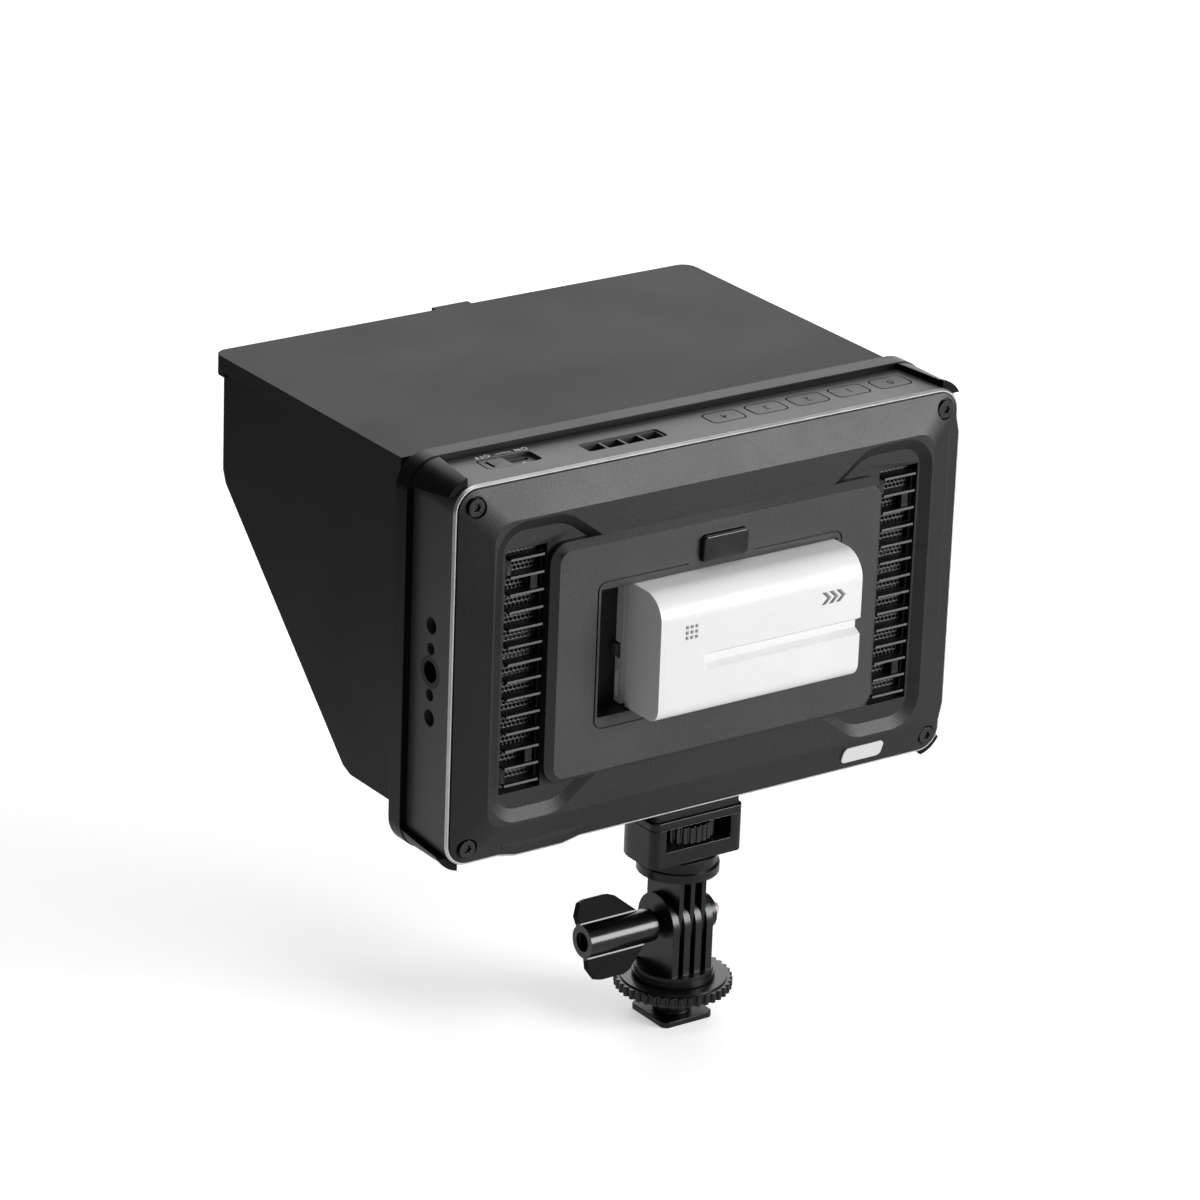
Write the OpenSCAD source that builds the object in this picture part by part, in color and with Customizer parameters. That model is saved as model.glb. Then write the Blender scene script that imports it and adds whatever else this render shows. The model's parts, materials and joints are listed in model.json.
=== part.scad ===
// Camera field monitor with a folding sun hood, a slide-on battery and a tilting shoe mount.
// Millimetres. Z is up, X runs along the screen and +Y points towards the screen and hood.
// The origin is the centre of the shoe foot's underside.

/* [Monitor body] */
// Width over the straight side walls
mon_w = 176.4; // [172:0.2:186]
// Height of the body
mon_h = 115.2; // [112:0.2:122]
// Depth from the rear rim to the front glass
mon_depth = 22.6; // [22:0.2:28]
// Corner radius of the body
mon_r = 7.5; // [6:0.5:9]
// Thickness of the side walls
wall = 2.2; // [2:0.1:2.6]
// Width of the bright rear chamfer
trim = 0.8; // [0.6:0.1:1.4]
// How far the right wall bulges
bulge = 1.2; // [0.4:0.1:1.6]
// Length of the right wall's bulge
bulge_len = 86; // [70:1:90]
// How far the floor bulges near its left corner
bump = 1.2; // [0.4:0.1:1.6]
// Distance from a side wall to the nearest cover screws
screw_in = 6.2; // [5.8:0.1:7]

/* [Back] */
// How far the back's platform stands behind the rim
cover_rise = 4.0; // [3:0.1:5]
// Width of the slope round the platform
slope_w = 11.2; // [9:0.2:13]
// How far the battery plate stands behind the platform
plate_rise = 2.1; // [1.5:0.1:3]
// Distance from the side wall to the battery plate
plate_in = 32.0; // [31:0.2:33]
// Battery plate height
plate_h = 69.4; // [66:0.2:72]
// Distance from the side wall to the middle of a vent
vent_in = 22.9; // [22:0.1:23.4]
// Width of a vent window
vent_w = 14.0; // [12:0.5:14.4]
// Height of a vent window
vent_h = 74.0; // [70:1:76]
// Number of fins in a vent
fin_count = 14; // [8:1:16]
// Thickness of a fin
fin_t = 0.7; // [0.6:0.1:1.2]

/* [Battery] */
// Battery length
batt_l = 70.8; // [68:0.2:71.4]
// Battery height
batt_h = 38.4; // [38:0.1:38.6]
// Battery thickness
batt_t = 21.9; // [21.4:0.1:23]
// Travel of the battery to its release
batt_travel = 10.0; // [6:0.5:10.5]
// Radius of a battery cell
cell_r = 9.0; // [8.6:0.1:9.1]

/* [Hood] */
// Reach of the hood in front of the rear rim
hood_reach = 134.0; // [110:1:150]
// How much narrower than the body the hood's top flap is on each side
hood_in = 2.5; // [2.3:0.1:2.8]
// Thickness of the flaps
flap_t = 1.6; // [1.2:0.1:2]
// Depth of the top flap's lips
lip_depth = 4.6; // [4.2:0.1:5.2]
// Height from the top flap up to the body's roof
hood_drop = 1.2; // [0.2:0.1:1.6]
// Thickness of the hood frame round the body
guard_t = 2.0; // [1.5:0.1:2.6]
// Radius of the hinge pins
hinge_pin_r = 0.9; // [0.7:0.05:1]

/* [Mount] */
// Width of the shoe foot
foot_w = 18.0; // [17.6:0.1:18.5]
// Thickness of the shoe foot
foot_t = 1.9; // [1.6:0.1:2.2]
// Height of the tilt pivot above the foot
pivot_z = 30.8; // [30:0.2:36]
// Distance from the rear rim forward to the column
setback = 9.0; // [8.6:0.1:9.6]
// Thickness of a lower prong
low_prong_t = 2.3; // [2:0.1:2.4]
// Thickness of an upper prong
up_prong_t = 1.5; // [1.2:0.1:1.5]
// Distance from one lower prong to the next
prong_pitch = 4.0; // [4:0.05:4.4]
// Width of the lower prongs
low_prong_w = 18.4; // [17:0.2:18.4]
// Width of the upper prongs
up_prong_w = 16.4; // [14:0.2:17]
// Radius of the pivot bolt
bolt_r = 2.5; // [2:0.1:2.6]
// Radius of the locking wheel
wheel_r = 17.7; // [16:0.1:19]
// Radius of the thumbwheel
thumb_r = 10.2; // [9.8:0.1:10.4]
// Wall radius of the camera screw's holes
screw_hole_r = 3.175; // [3:0.025:3.2]

/* [Fits] */
// Radial clearance of a turning fit
run_fit = 0.05; // [0.03:0.01:0.08]
// Clearance between pieces that slide or press
gap = 0.3; // [0.2:0.05:0.35]

/* [Output] */
// Piece to show

/* [Hidden] */
$fn = 48;
tiny = 0.01;
big = 400;

// derived places of the body
body_gap = 2.1;
block_h = 14.6;
block_rise = 22.4;
disc_rise = 16.4;
block_z0 = pivot_z + block_rise;
block_z1 = block_z0 + block_h;
mon_z = block_z1 + body_gap + mon_h / 2;
half_w = mon_w / 2;
half_h = mon_h / 2;
screw_up = 0.6;
screw_x = mon_w - 2 * screw_in;
screw_z = mon_h - 2 * screw_in + screw_up;
plate_w = mon_w - 2 * plate_in;
vent_span = mon_w - 2 * vent_in;
hood_w = mon_w - 2 * hood_in;
hood_top_z = half_h - hood_drop;
cav_w = mon_w - 2 * wall;
cav_h = mon_h - 2 * wall;
plat_w = mon_w - 2 * slope_w;
plat_h = mon_h - 2 * slope_w;
plate_y = -cover_rise - plate_rise;

// places inside the body, from the rear rim
glass_t = 1.4;
bezel_t = 2.0;
panel_t = 2.2;
light_t = 4.0;
bezel_y = mon_depth - glass_t - bezel_t;
panel_y = bezel_y - panel_t;
light_y = panel_y - light_t;
sink_t = 1.6;
sink_y = light_y - sink_t;
panel_side = 11.0;
panel_top = 9.4;
view_side = 1.8;
view_top = 1.1;
panel_w = mon_w - 2 * panel_side;
panel_h = mon_h - 2 * panel_top;
view_w = panel_w - 2 * view_side;
view_h = panel_h - 2 * view_top;
post_r = 4.4;
post_hole_r = 1.3;
cover_y = 1.0;
seam = 0.35;
seam_d = 0.4;
cover_in = trim + seam;

// battery and well
batt_back = 2.0;
batt_x0 = -30.5;
batt_zc = 1.25;
well_gap = 0.35;
well_x0 = batt_x0 - batt_travel - 1.4;
well_x1 = batt_x0 + batt_l + 0.9;
well_floor = batt_back + 0.15;
well_h = batt_h + 2 * well_gap;
well_wall = 1.6;
rail_d = 1.2;
rail_w = 1.5;
rail_y = -3.2;
term_w = 18;
term_l = 3.0;
term_d = 4.4;
chan_w = 4.8;
chan_z = -2.0;
chan_d = 2.4;
chan_l = 13.5;
cell_len = 65;
end_t = 1.6;
case_line = 0.25;

// release button and latch
rel_w = 15.5;
rel_h = 7.8;
rel_z = 26.8;
rel_out = 1.8;
rel_deep = 3.2;
rel_tub_floor = 1.4;
rel_tub_wall = 1.4;
latch_t = 1.2;

// top controls
btn_n = 5;
btn_x0 = half_w - 76.4;
btn_pitch = 14.94;
btn_w = 11.4;
btn_d = 7.4;
btn_y = 12.2;
btn_proud = 0.05;
btn_gap = 0.4;
btn_flange = 0.8;
btn_travel = 0.5;
board_t = 1.2;
board_z = half_h - wall - btn_flange - gap - 2.8;
slot_x = 26.0 - half_w;
slot_w = 18.4;
slot_d = 7.6;
slot_y = 12.3;
slot_deep = 1.3;
slide_w = 8.2;
slide_travel = 9.0;
slit_w = 1.2;
slit_off = 1.6;
light_x = 4.6;
light_in = 1.4;
cellvent_x = -24.9;
cellvent_w = 25.6;
cellvent_d = 5.0;
cellvent_y = 10.1;
cellvent_n = 4;
cellvent_rib = 0.8;
cellvent_rim = 0.8;

// side threads
side_z = -0.4;
side_y = 10.2;
pin_hole_r = 1.85;
pin_pitch = 7.0;
tap_hole_r = 2.5;
tap_pitch = 14.0;
side_block_t = 7.0;
side_block_h = 38;
side_block_w = 11.6;
insert_r = 4.8;
insert_len = 7.0;

// hood
fit_gap = 0.15;
frame_y0 = mon_depth - 2.2;
frame_y1 = mon_depth + 3.8;
frame_w = mon_w + 2 * (fit_gap + guard_t) + 0.6;
frame_h = mon_h + 2 * (fit_gap + guard_t);
frame_r = mon_r + fit_gap + guard_t;
window_w = mon_w - 20.4;
window_h = mon_h - 15.2;
guard_x = half_w - 7.8;
guard_z = half_h - 5.4;
guard_y0 = 1.6;
guard_step = 0.3;
guard_flare = 2.6;
bead = 1.4;
knuckle_r = 1.9;
hinge_gap = 0.3;
top_axis_y = frame_y1 + 5.0;
top_axis_z = hood_top_z - flap_t - knuckle_r - 0.2;
top_rear_y = top_axis_y;
ear_t = 3.0;
top_barrel = 12;
top_hinge_x = hood_w / 2 - 19.7;
wing_t = 1.8;
wing_x = half_w - 6.0;
wing_axis_l = frame_y1 + 3.2;
wing_axis_r = wing_axis_l + 5.0;
wing_root_y = frame_y1 + 6.6;
wing_z1 = top_axis_z - knuckle_r - 0.4;
wing_z0 = 6.2 - half_h;
wing_front = hood_reach - flap_t - 0.6;
wing_barrel = 9;
wing_ear = 4;
wing_station = 31;
tab_w = 13;
tab_out = 2.3;
clip_len = 7;
clip_more = 1.6;

// mount
foot_r = 2.2;
stud_r = 4.0;
washer_t = 1.0;
washer_r = 7.0;
wheel_z0 = 9.0;
wheel_h = 4.0;
wheel_knurls = 40;
knurl_r = 0.85;
ring_r = 12.4;
ring_gap = 0.2;
ring_z0 = wheel_z0 + wheel_h + ring_gap;
ring_h = 3.0;
low_n = 4;
up_n = 3;
disc_r = 12.3;
disc_z0 = pivot_z + disc_rise;
disc_h = 2.6;
collar_r = 11.6;
collar_z1 = block_z0 - 0.2;
block_w = 32.6;
block_d = 20.8;
block_r = 2.6;
block_far_r = 9;
cap_h = 2.4;
win_w = 23.0;
win_h = 7.0;
win_rise = 8.4;
win_z = block_z0 + win_rise;
thumb_h = 5.0;
thumb_knurls = 28;
thumb_knurl_r = 0.8;
swivel_r = 2.6;
knob_r = 5.05;
knob_x0 = 9.4;
knob_x1 = 33.4;
knob_hole_deep = 9.9;
wing_span = 12.0;
wing_tilt = 25;
wing_plate = 2.6;
boss_r = 5.3;
boss_x = 11.4;
nut_r = 3.1;
nut_len = 3.4;

// ---------- shared shapes ----------

// Rounded rectangle from two bars and four discs.
module rrect(w, h, r) {
  square([w - 2 * r, h], center = true);
  square([w, h - 2 * r], center = true);
  for (x = [-1, 1], z = [-1, 1])
    translate([x * (w / 2 - r), z * (h / 2 - r)])
      circle(r);
}

// Extrudes an outline drawn in X and Z from y0 forward to y1.
module deep(y0, y1) {
  translate([0, y1, 0])
    rotate([90, 0, 0])
      linear_extrude(y1 - y0)
        children();
}

// Extrudes an outline drawn in Y and Z from x0 to x1.
module across(x0, x1) {
  translate([x0, 0, 0])
    rotate([90, 0, 90])
      linear_extrude(x1 - x0)
        children();
}

// Rod along Y.
module rod_y(r, y0, y1) {
  translate([0, y0, 0])
    rotate([-90, 0, 0])
      cylinder(r = r, h = y1 - y0);
}

// Rod along X.
module rod_x(r, x0, x1) {
  translate([x0, 0, 0])
    rotate([0, 90, 0])
      cylinder(r = r, h = x1 - x0);
}

// Box between two corners.
module block(a, b) {
  translate(a)
    cube(b - a);
}

// Moves a shape from the body's own place to the assembly.
// There the origin is the middle of the rear rim.
module at_body() {
  translate([0, -setback, mon_z])
    children();
}

bulge_ramp = 5.4;
bump_ramp = 6;

// Bulge on the right wall.
module bulge2d(g) {
  l = bulge_len / 2;
  polygon([[half_w - mon_r, -l - bulge_ramp], [half_w + g, -l - bulge_ramp], [half_w + bulge + g, -l],
    [half_w + bulge + g, l], [half_w + g, l + bulge_ramp], [half_w - mon_r, l + bulge_ramp]]);
}

bump_x = 32.2 - half_w;
bump_len = 16;

// Bump under the floor.
module bump2d(g) {
  l = bump_len / 2;
  translate([bump_x, 0])
    polygon([[-l - bump_ramp, mon_r - half_h], [-l - bump_ramp, -half_h - g], [-l, -half_h - bump - g],
      [l, -half_h - bump - g], [l + bump_ramp, -half_h - g], [l + bump_ramp, mon_r - half_h]]);
}

// Outline of the body, grown by g.
module body2d(g) {
  rrect(mon_w + 2 * g, mon_h + 2 * g, mon_r + g);
  bulge2d(g);
  bump2d(g);
}

// Puts a shape at each of the four cover screws.
module at_screws() {
  for (x = [-1, 1], z = [-1, 1])
    translate([x * screw_x / 2, 0, z * screw_z / 2])
      children();
}

// ---------- mount ----------

module shoe_foot() {
  boss_r = 5.8;
  boss_h = 2.4;
  color([0.08, 0.08, 0.085]) {
    linear_extrude(foot_t)
      rrect(foot_w, foot_w, foot_r);
    cylinder(r = boss_r, h = foot_t + boss_h);
    cylinder(r = stud_r, h = ring_z0 + ring_h - 1);
  }
}

module thrust_washer() {
  color([0.2, 0.2, 0.21])
    translate([0, 0, wheel_z0 - washer_t])
      difference() {
        cylinder(r = washer_r, h = washer_t);
        translate([0, 0, -1])
          cylinder(r = stud_r + run_fit, h = washer_t + 2);
      }
}

// Outline of a knurled disc.
module knurled2d(r, n, k) {
  circle(r - k);
  for (i = [0 : n - 1])
    rotate(i * 360 / n)
      translate([r - k, 0])
        circle(k, $fn = 16);
}

module lock_wheel() {
  rim = 0.5;
  color([0.09, 0.09, 0.1])
    difference() {
      union() {
        translate([0, 0, wheel_z0 + rim])
          linear_extrude(wheel_h - 2 * rim)
            knurled2d(wheel_r, wheel_knurls, knurl_r);
        translate([0, 0, wheel_z0])
          cylinder(r = wheel_r - 2 * knurl_r, h = wheel_h);
      }
      translate([0, 0, wheel_z0 - 1])
        cylinder(r = stud_r + run_fit, h = wheel_h + 2);
    }
}

// One prong of a fork: a bar with a round end at the pivot.
module prong(x, t, w, z_end) {
  z0 = min(z_end, pivot_z);
  z1 = max(z_end, pivot_z);
  block([x - t / 2, -w / 2, z0], [x + t / 2, w / 2, z1]);
  translate([0, 0, pivot_z])
    rod_x(w / 2, x - t / 2, x + t / 2);
}

module lower_fork() {
  step = 0.6;
  color([0.08, 0.08, 0.085])
    difference() {
      union() {
        translate([0, 0, ring_z0])
          cylinder(r = ring_r, h = ring_h / 2);
        translate([0, 0, ring_z0])
          cylinder(r = ring_r - step, h = ring_h);
        for (i = [0 : low_n - 1])
          prong((i - (low_n - 1) / 2) * prong_pitch, low_prong_t, low_prong_w, ring_z0 + ring_h / 2);
        translate([0, 0, pivot_z])
          rod_x(boss_r, fork_side - tiny, boss_x);
      }
      translate([0, 0, ring_z0 - 1])
        cylinder(r = stud_r + run_fit, h = ring_h + run_fit);
      translate([0, 0, pivot_z])
        rod_x(bolt_r + run_fit, -big, boss_x - nut_seat);
      translate([0, 0, pivot_z])
        rod_x(nut_r + run_fit, boss_x - nut_seat, big);
    }
}

nut_seat = 2.2;
nut_step = 0.6;
bolt_tip_r = bolt_r - 1;
bolt_end = knob_hole_deep - knob_x1;
fork_side = (low_n - 1) / 2 * prong_pitch + low_prong_t / 2;

module pivot_bolt() {
  color([0.72, 0.72, 0.73])
    translate([0, 0, pivot_z]) {
      rod_x(bolt_r, bolt_end, boss_x - nut_seat);
      rod_x(bolt_tip_r, boss_x - nut_seat - tiny, boss_x - 0.4);
    }
}

module cap_nut() {
  color([0.78, 0.77, 0.76])
    translate([0, 0, pivot_z])
      difference() {
        intersection() {
          union() {
            rod_x(nut_r, boss_x - nut_seat, boss_x + nut_step);
            translate([boss_x + nut_step, 0, 0])
              sphere(nut_r);
          }
          rod_x(nut_r + 1, boss_x - nut_seat, boss_x + nut_len);
        }
        rod_x(bolt_tip_r + run_fit, boss_x - nut_seat - 1, boss_x - 0.3);
      }
}

// Outline of one knob wing: X along the knob, Y out from its axis.
module wing2d() {
  edge_r = 0.5;
  shoulder = 4.2;
  corner = 3.4;
  ease = 0.6;
  crest = 13;
  crest_end = 10.6;
  toe = 3.0;
  far = -knob_x1;
  near = -knob_x0;
  polygon([[far + edge_r, 0], [far - edge_r, wing_span - shoulder], [far + corner - 2, wing_span - ease],
    [far + corner, wing_span], [near - crest, wing_span], [near - crest_end, wing_span - 1.5 * ease],
    [near - toe, knob_r - 1.5 * ease], [near - toe, 0]]);
}

module wing_knob() {
  neck_r = 3.4;
  mouth_r = 3.0;
  mouth_deep = 1.0;
  color([0.05, 0.05, 0.055])
    translate([0, 0, pivot_z])
      difference() {
        union() {
          rod_x(knob_r, -knob_x1, -knob_x0);
          rod_x(neck_r, -knob_x0 - 1, -fork_side - gap);
          for (a = [0, 180])
            rotate([a - wing_tilt, 0, 0])
              deep(-wing_plate / 2, wing_plate / 2)
                wing2d();
        }
        rod_x(bolt_r + run_fit, -big, 0);
        rod_x(mouth_r, -knob_x1 - 1, -knob_x1 + mouth_deep);
      }
}

module upper_fork() {
  pin_floor = 1.0;
  color([0.08, 0.08, 0.085])
    difference() {
      union() {
        translate([0, 0, disc_z0])
          cylinder(r = disc_r, h = disc_h);
        translate([0, 0, disc_z0])
          cylinder(r = collar_r, h = collar_z1 - disc_z0);
        for (i = [0 : up_n - 1])
          prong((i - (up_n - 1) / 2) * prong_pitch, up_prong_t, up_prong_w, disc_z0 + tiny);
      }
      translate([0, 0, pivot_z])
        rod_x(bolt_r + run_fit, -big, big);
      translate([0, 0, disc_z0 + pin_floor])
        cylinder(r = swivel_r + run_fit, h = big);
    }
}

head_r = 4.6;
head_h = 1.6;
block_floor = 2.2;
block_off = 0.6;
screw_r = screw_hole_r - run_fit;
thread_in = 5.5;
thumb_z0 = win_z - thumb_h / 2;

module swivel_screw() {
  color([0.6, 0.6, 0.62]) {
    translate([0, 0, disc_z0 + 1.2])
      cylinder(r = swivel_r, h = block_z0 + block_floor - disc_z0 - 1.2 + tiny);
    translate([0, 0, block_z0 + block_floor])
      cylinder(r = head_r, h = head_h);
  }
}

// Plan of the mount block, drawn in by g, with wider roundings on the screen's side.
module block2d(g) {
  w = block_w - 2 * g;
  d = block_d - 2 * g;
  translate([0, block_off])
    intersection() {
      rrect(w, d, block_r - g);
      translate([0, -block_d / 2])
        rrect(w, d + block_d, block_far_r - g);
    }
}

module mount_block() {
  color([0.14, 0.14, 0.15])
    difference() {
      translate([0, 0, block_z0])
        linear_extrude(block_h - cap_h)
          block2d(0);
      block([-win_w / 2, -big, win_z - win_h / 2], [win_w / 2, big, win_z + win_h / 2]);
      translate([0, 0, win_z - win_h / 2])
        cylinder(r = thumb_r + gap, h = win_h);
      translate([0, 0, block_z0 - 1])
        cylinder(r = swivel_r + run_fit, h = block_h);
      translate([0, 0, block_z0 + block_floor])
        cylinder(r = head_r + gap, h = win_z - block_z0 - block_floor);
      translate([0, 0, win_z])
        cylinder(r = screw_r + gap, h = block_h);
    }
}

module block_cap() {
  color([0.12, 0.12, 0.13])
    difference() {
      translate([0, 0, block_z1 - cap_h])
        linear_extrude(cap_h)
          block2d(0);
      translate([0, 0, block_z0])
        cylinder(r = screw_r + gap, h = block_h + 1);
    }
}

module rubber_pad() {
  inset = 0.8;
  color([0.05, 0.05, 0.05])
    difference() {
      translate([0, 0, block_z1])
        linear_extrude(body_gap)
          block2d(inset);
      translate([0, 0, block_z0])
        cylinder(r = screw_r + gap, h = block_h + body_gap + 1);
    }
}

module thumbwheel() {
  color([0.16, 0.16, 0.17])
    difference() {
      translate([0, 0, thumb_z0])
        linear_extrude(thumb_h)
          knurled2d(thumb_r, thumb_knurls, thumb_knurl_r);
      translate([0, 0, thumb_z0 - 1])
        cylinder(r = screw_r + run_fit, h = thumb_h + 2);
    }
}

module mount_screw() {
  color([0.7, 0.7, 0.71])
    translate([0, 0, thumb_z0])
      cylinder(r = screw_r, h = block_z1 + body_gap + thread_in - thumb_z0);
}

// ---------- monitor ----------

// X place of push button i, counted from 0.
function btn_x(i) = btn_x0 + i * btn_pitch;

socket_y = 11;
hdmi_w = 15.2;
hdmi_t = 5.6;
hdmi_z = [24, 2];
jack_r = 4.2;
jack_z = -18;
ear_w = 1.6;

// Openings in the ring's roof, for the buttons and the switch.
module roof_cuts() {
  for (i = [0 : btn_n - 1])
    translate([btn_x(i), btn_y, half_h - 2 * wall])
      linear_extrude(3 * wall)
        rrect(btn_w + 2 * btn_gap, btn_d + 2 * btn_gap, 2.1);
  translate([slot_x, slot_y, half_h - slot_deep])
    linear_extrude(2 * slot_deep)
      rrect(slot_w, slot_d, 1.6);
  translate([slot_x, slot_y + slit_off, half_h - 2 * wall])
    linear_extrude(2 * wall)
      square([slot_w - 3.4, slit_w], center = true);
  translate([slot_x + light_x, slot_y - light_in, half_h - 2 * wall])
    cylinder(r = 0.9 + run_fit, h = 2 * wall);
  translate([cellvent_x, cellvent_y, half_h - 0.5])
    linear_extrude(1)
      rrect(cellvent_w + 2 * cellvent_rim, cellvent_d + 2 * cellvent_rim, 1.4);
  cell = (cellvent_w - (cellvent_n - 1) * cellvent_rib) / cellvent_n;
  for (i = [0 : cellvent_n - 1])
    translate([cellvent_x - cellvent_w / 2 + i * (cell + cellvent_rib), cellvent_y - cellvent_d / 2, half_h - wall - tiny])
      cube([cell, cellvent_d, wall + 1]);
}

// Openings in the ring's left wall.
module left_cuts() {
  translate([0, side_y, side_z]) {
    rod_x(insert_r + run_fit, -half_w - 1, -half_w + 2 * wall);
    for (s = [-1, 1]) {
      translate([0, 0, s * pin_pitch])
        rod_x(pin_hole_r, -half_w - 1, -half_w + 2 * wall);
      translate([0, 0, s * tap_pitch])
        rod_x(tap_hole_r, -half_w - 1, -half_w + 2 * wall);
    }
  }
}

// Openings in the ring's right wall.
module right_cuts() {
  for (z = hdmi_z)
    block([half_w - wall, socket_y - hdmi_t / 2 - run_fit, z - hdmi_w / 2 - run_fit],
      [half_w + 2 * bulge, socket_y + hdmi_t / 2 + run_fit, z + hdmi_w / 2 + run_fit]);
  translate([0, socket_y, jack_z])
    rod_x(jack_r + run_fit, half_w - wall, half_w + 2 * bulge);
}

module mid_frame() {
  color([0.13, 0.13, 0.14])
    at_body()
      difference() {
        union() {
          deep(trim, mon_depth)
            difference() {
              body2d(0);
              body2d(-wall);
            }
          deep(seam_d, trim + tiny)
            difference() {
              body2d(-trim);
              body2d(-wall);
            }
          deep(0, seam_d + tiny)
            difference() {
              body2d(-cover_in);
              body2d(-wall);
            }
          deep(cover_y, bezel_y)
            intersection() {
              body2d(-wall / 2);
              for (x = [-1, 1], z = [-1, 1])
                translate([x * screw_x / 2, z * screw_z / 2])
                  circle(post_r);
            }
          for (i = [0 : btn_n - 2])
            block([btn_x(i) + (btn_pitch - ear_w) / 2, btn_y - btn_d / 2, board_z + board_t],
              [btn_x(i) + (btn_pitch + ear_w) / 2, btn_y + btn_d / 2, half_h - wall / 2]);
        }
        at_screws()
          rod_y(post_hole_r, 0, bezel_y + 1);
        roof_cuts();
        left_cuts();
        right_cuts();
        translate([0, setback, -half_h - 1])
          cylinder(r = insert_r + run_fit, h = 2 * wall);
      }
}

// Slab that widens from one outline to the next along Y.
module loft(y0, y1) {
  hull() {
    deep(y0, y0 + tiny)
      children(0);
    deep(y1 - tiny, y1)
      children(1);
  }
}

module trim_ring() {
  chamfer = 0.6 * trim;
  color([0.78, 0.78, 0.8])
    at_body()
      difference() {
        union() {
          loft(0, trim) {
            rrect(mon_w - 2 * chamfer, mon_h - 2 * chamfer, mon_r - chamfer);
            rrect(mon_w, mon_h, mon_r);
          }
          loft(0, trim) {
            bulge2d(-chamfer);
            bulge2d(0);
          }
          loft(0, trim) {
            bump2d(-chamfer);
            bump2d(0);
          }
        }
        deep(-1, trim + 1)
          body2d(-trim);
      }
}

tub_x0 = well_x0 - well_wall;
tub_x1 = well_x1 + well_wall;
tub_h = well_h + 2 * well_wall;
rel_tub_w = rel_w + 2 * (gap + rel_tub_wall);
rel_tub_h = rel_h + 2 * (gap + rel_tub_wall);
head_seat = -0.3;
pocket_y = -0.6;
pocket_edge = vent_span / 2 + 11.1;
pocket_in = vent_span / 2 - 12.8;
pocket_toe = vent_span / 2 - 24.8;
pocket_h = mon_h - 23.8;
pocket_slope = 3.4;
pocket_ledge = pocket_y - 0.4 * cover_rise;
pocket_r = 10.0;
pocket_bend = 12;
cover_skin = 1.6;
plate_bevel = 2.0;
plate_r = 4;

// Floor plan of a vent pocket, drawn in by g, with its slanted and rounded inner end.
module pocket2d(s, g) {
  h = pocket_h / 2 - g;
  out = pocket_edge - g;
  r = pocket_r - g;
  toe_z = plate_h / 2 + plate_bevel - g;
  slant = atan2(h - toe_z, pocket_in - pocket_toe);
  t = pocket_bend * tan(slant / 2);
  polygon([[s * (out - r), -h], [s * (pocket_in + t), -h],
    [s * (pocket_in - t * cos(slant)), t * sin(slant) - h], [s * pocket_toe, -toe_z], [s * pocket_toe, toe_z],
    [s * (pocket_in - t * cos(slant)), h - t * sin(slant)], [s * (pocket_in + t), h],
    [s * (out - r), h], [s * out, h - r], [s * out, r - h]]);
  for (z = [-1, 1]) {
    translate([s * (out - r), z * (h - r)])
      circle(r);
    translate([s * (pocket_in + t), z * (h - pocket_bend)])
      circle(pocket_bend);
  }
}

module rear_cover() {
  inner_w = 2 * (pocket_toe - cover_skin);
  screw_seat_r = 3.2;
  screw_pass_r = 1.5;
  color([0.13, 0.13, 0.14])
    at_body()
      difference() {
        union() {
          loft(-cover_rise, -seam_d) {
            rrect(plat_w, plat_h, 6);
            rrect(mon_w - 2 * cover_in, mon_h - 2 * cover_in, mon_r - cover_in);
          }
          loft(-cover_rise * 0.4, -seam_d) {
            translate([-2, 0])
              bulge2d(-cover_in - 2);
            bulge2d(-cover_in);
          }
          loft(-cover_rise * 0.4, -seam_d) {
            bump2d(-cover_in - 3);
            bump2d(-cover_in);
          }
          deep(-seam_d - tiny, 0)
            body2d(-cover_in);
          deep(-tiny, cover_y)
            body2d(-wall - 0.1);
        }
        for (s = [-1, 1]) {
          difference() {
            loft(-cover_rise - tiny, pocket_ledge) {
              pocket2d(s, 0);
              pocket2d(s, pocket_slope);
            }
            loft(pocket_ledge - tiny, pocket_y) {
              pocket2d(s, pocket_slope);
              pocket2d(s, pocket_slope + 0.4);
            }
            deep(-big, big)
              rrect(plate_w + 2 * plate_bevel, plate_h + 2 * plate_bevel, plate_r + plate_bevel);
          }
          deep(-big, big)
            translate([s * vent_span / 2, 0])
              square([vent_w, vent_h], center = true);
        }
        deep(-cover_rise + cover_skin, big)
          square([inner_w, plate_h], center = true);
        block([tub_x0 - 0.2, -big, batt_zc - tub_h / 2 - 0.2], [tub_x1 + 0.2, big, batt_zc + tub_h / 2 + 0.2]);
        deep(-big, big)
          translate([0, rel_z])
            square([rel_tub_w + 0.4, rel_tub_h + 0.4], center = true);
        at_screws()
          rod_y(screw_seat_r, -big, head_seat);
        at_screws()
          rod_y(screw_pass_r, -1, big);
      }
}

module cover_screws() {
  screw_head_r = 2.6;
  screw_head_y = -1.9;
  screw_len = 8;
  lobe = 0.42;
  drive = 0.9;
  drive_d = 0.8;
  color([0.1, 0.1, 0.105])
    at_body()
      at_screws()
        difference() {
          union() {
            rod_y(screw_head_r, screw_head_y, head_seat);
            rod_y(post_hole_r - run_fit, head_seat - tiny, screw_len);
          }
          deep(screw_head_y - 1, screw_head_y + drive_d) {
            circle(drive);
            for (a = [0 : 60 : 300])
              rotate(a)
                translate([drive, 0])
                  circle(lobe, $fn = 16);
          }
        }
}

fin_margin = 2.7;
fin_out = 3.2;
fin_in = 1.2;
rail_t = 0.9;
mesh_t = 0.6;
mesh_lap = 1.4;
mesh_hole_r = 0.8;
mesh_cols = 5;

// Z place of fin i.
function fin_z(i) = vent_h / 2 - fin_margin - i * (vent_h - 2 * fin_margin) / (fin_count - 1);

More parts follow.
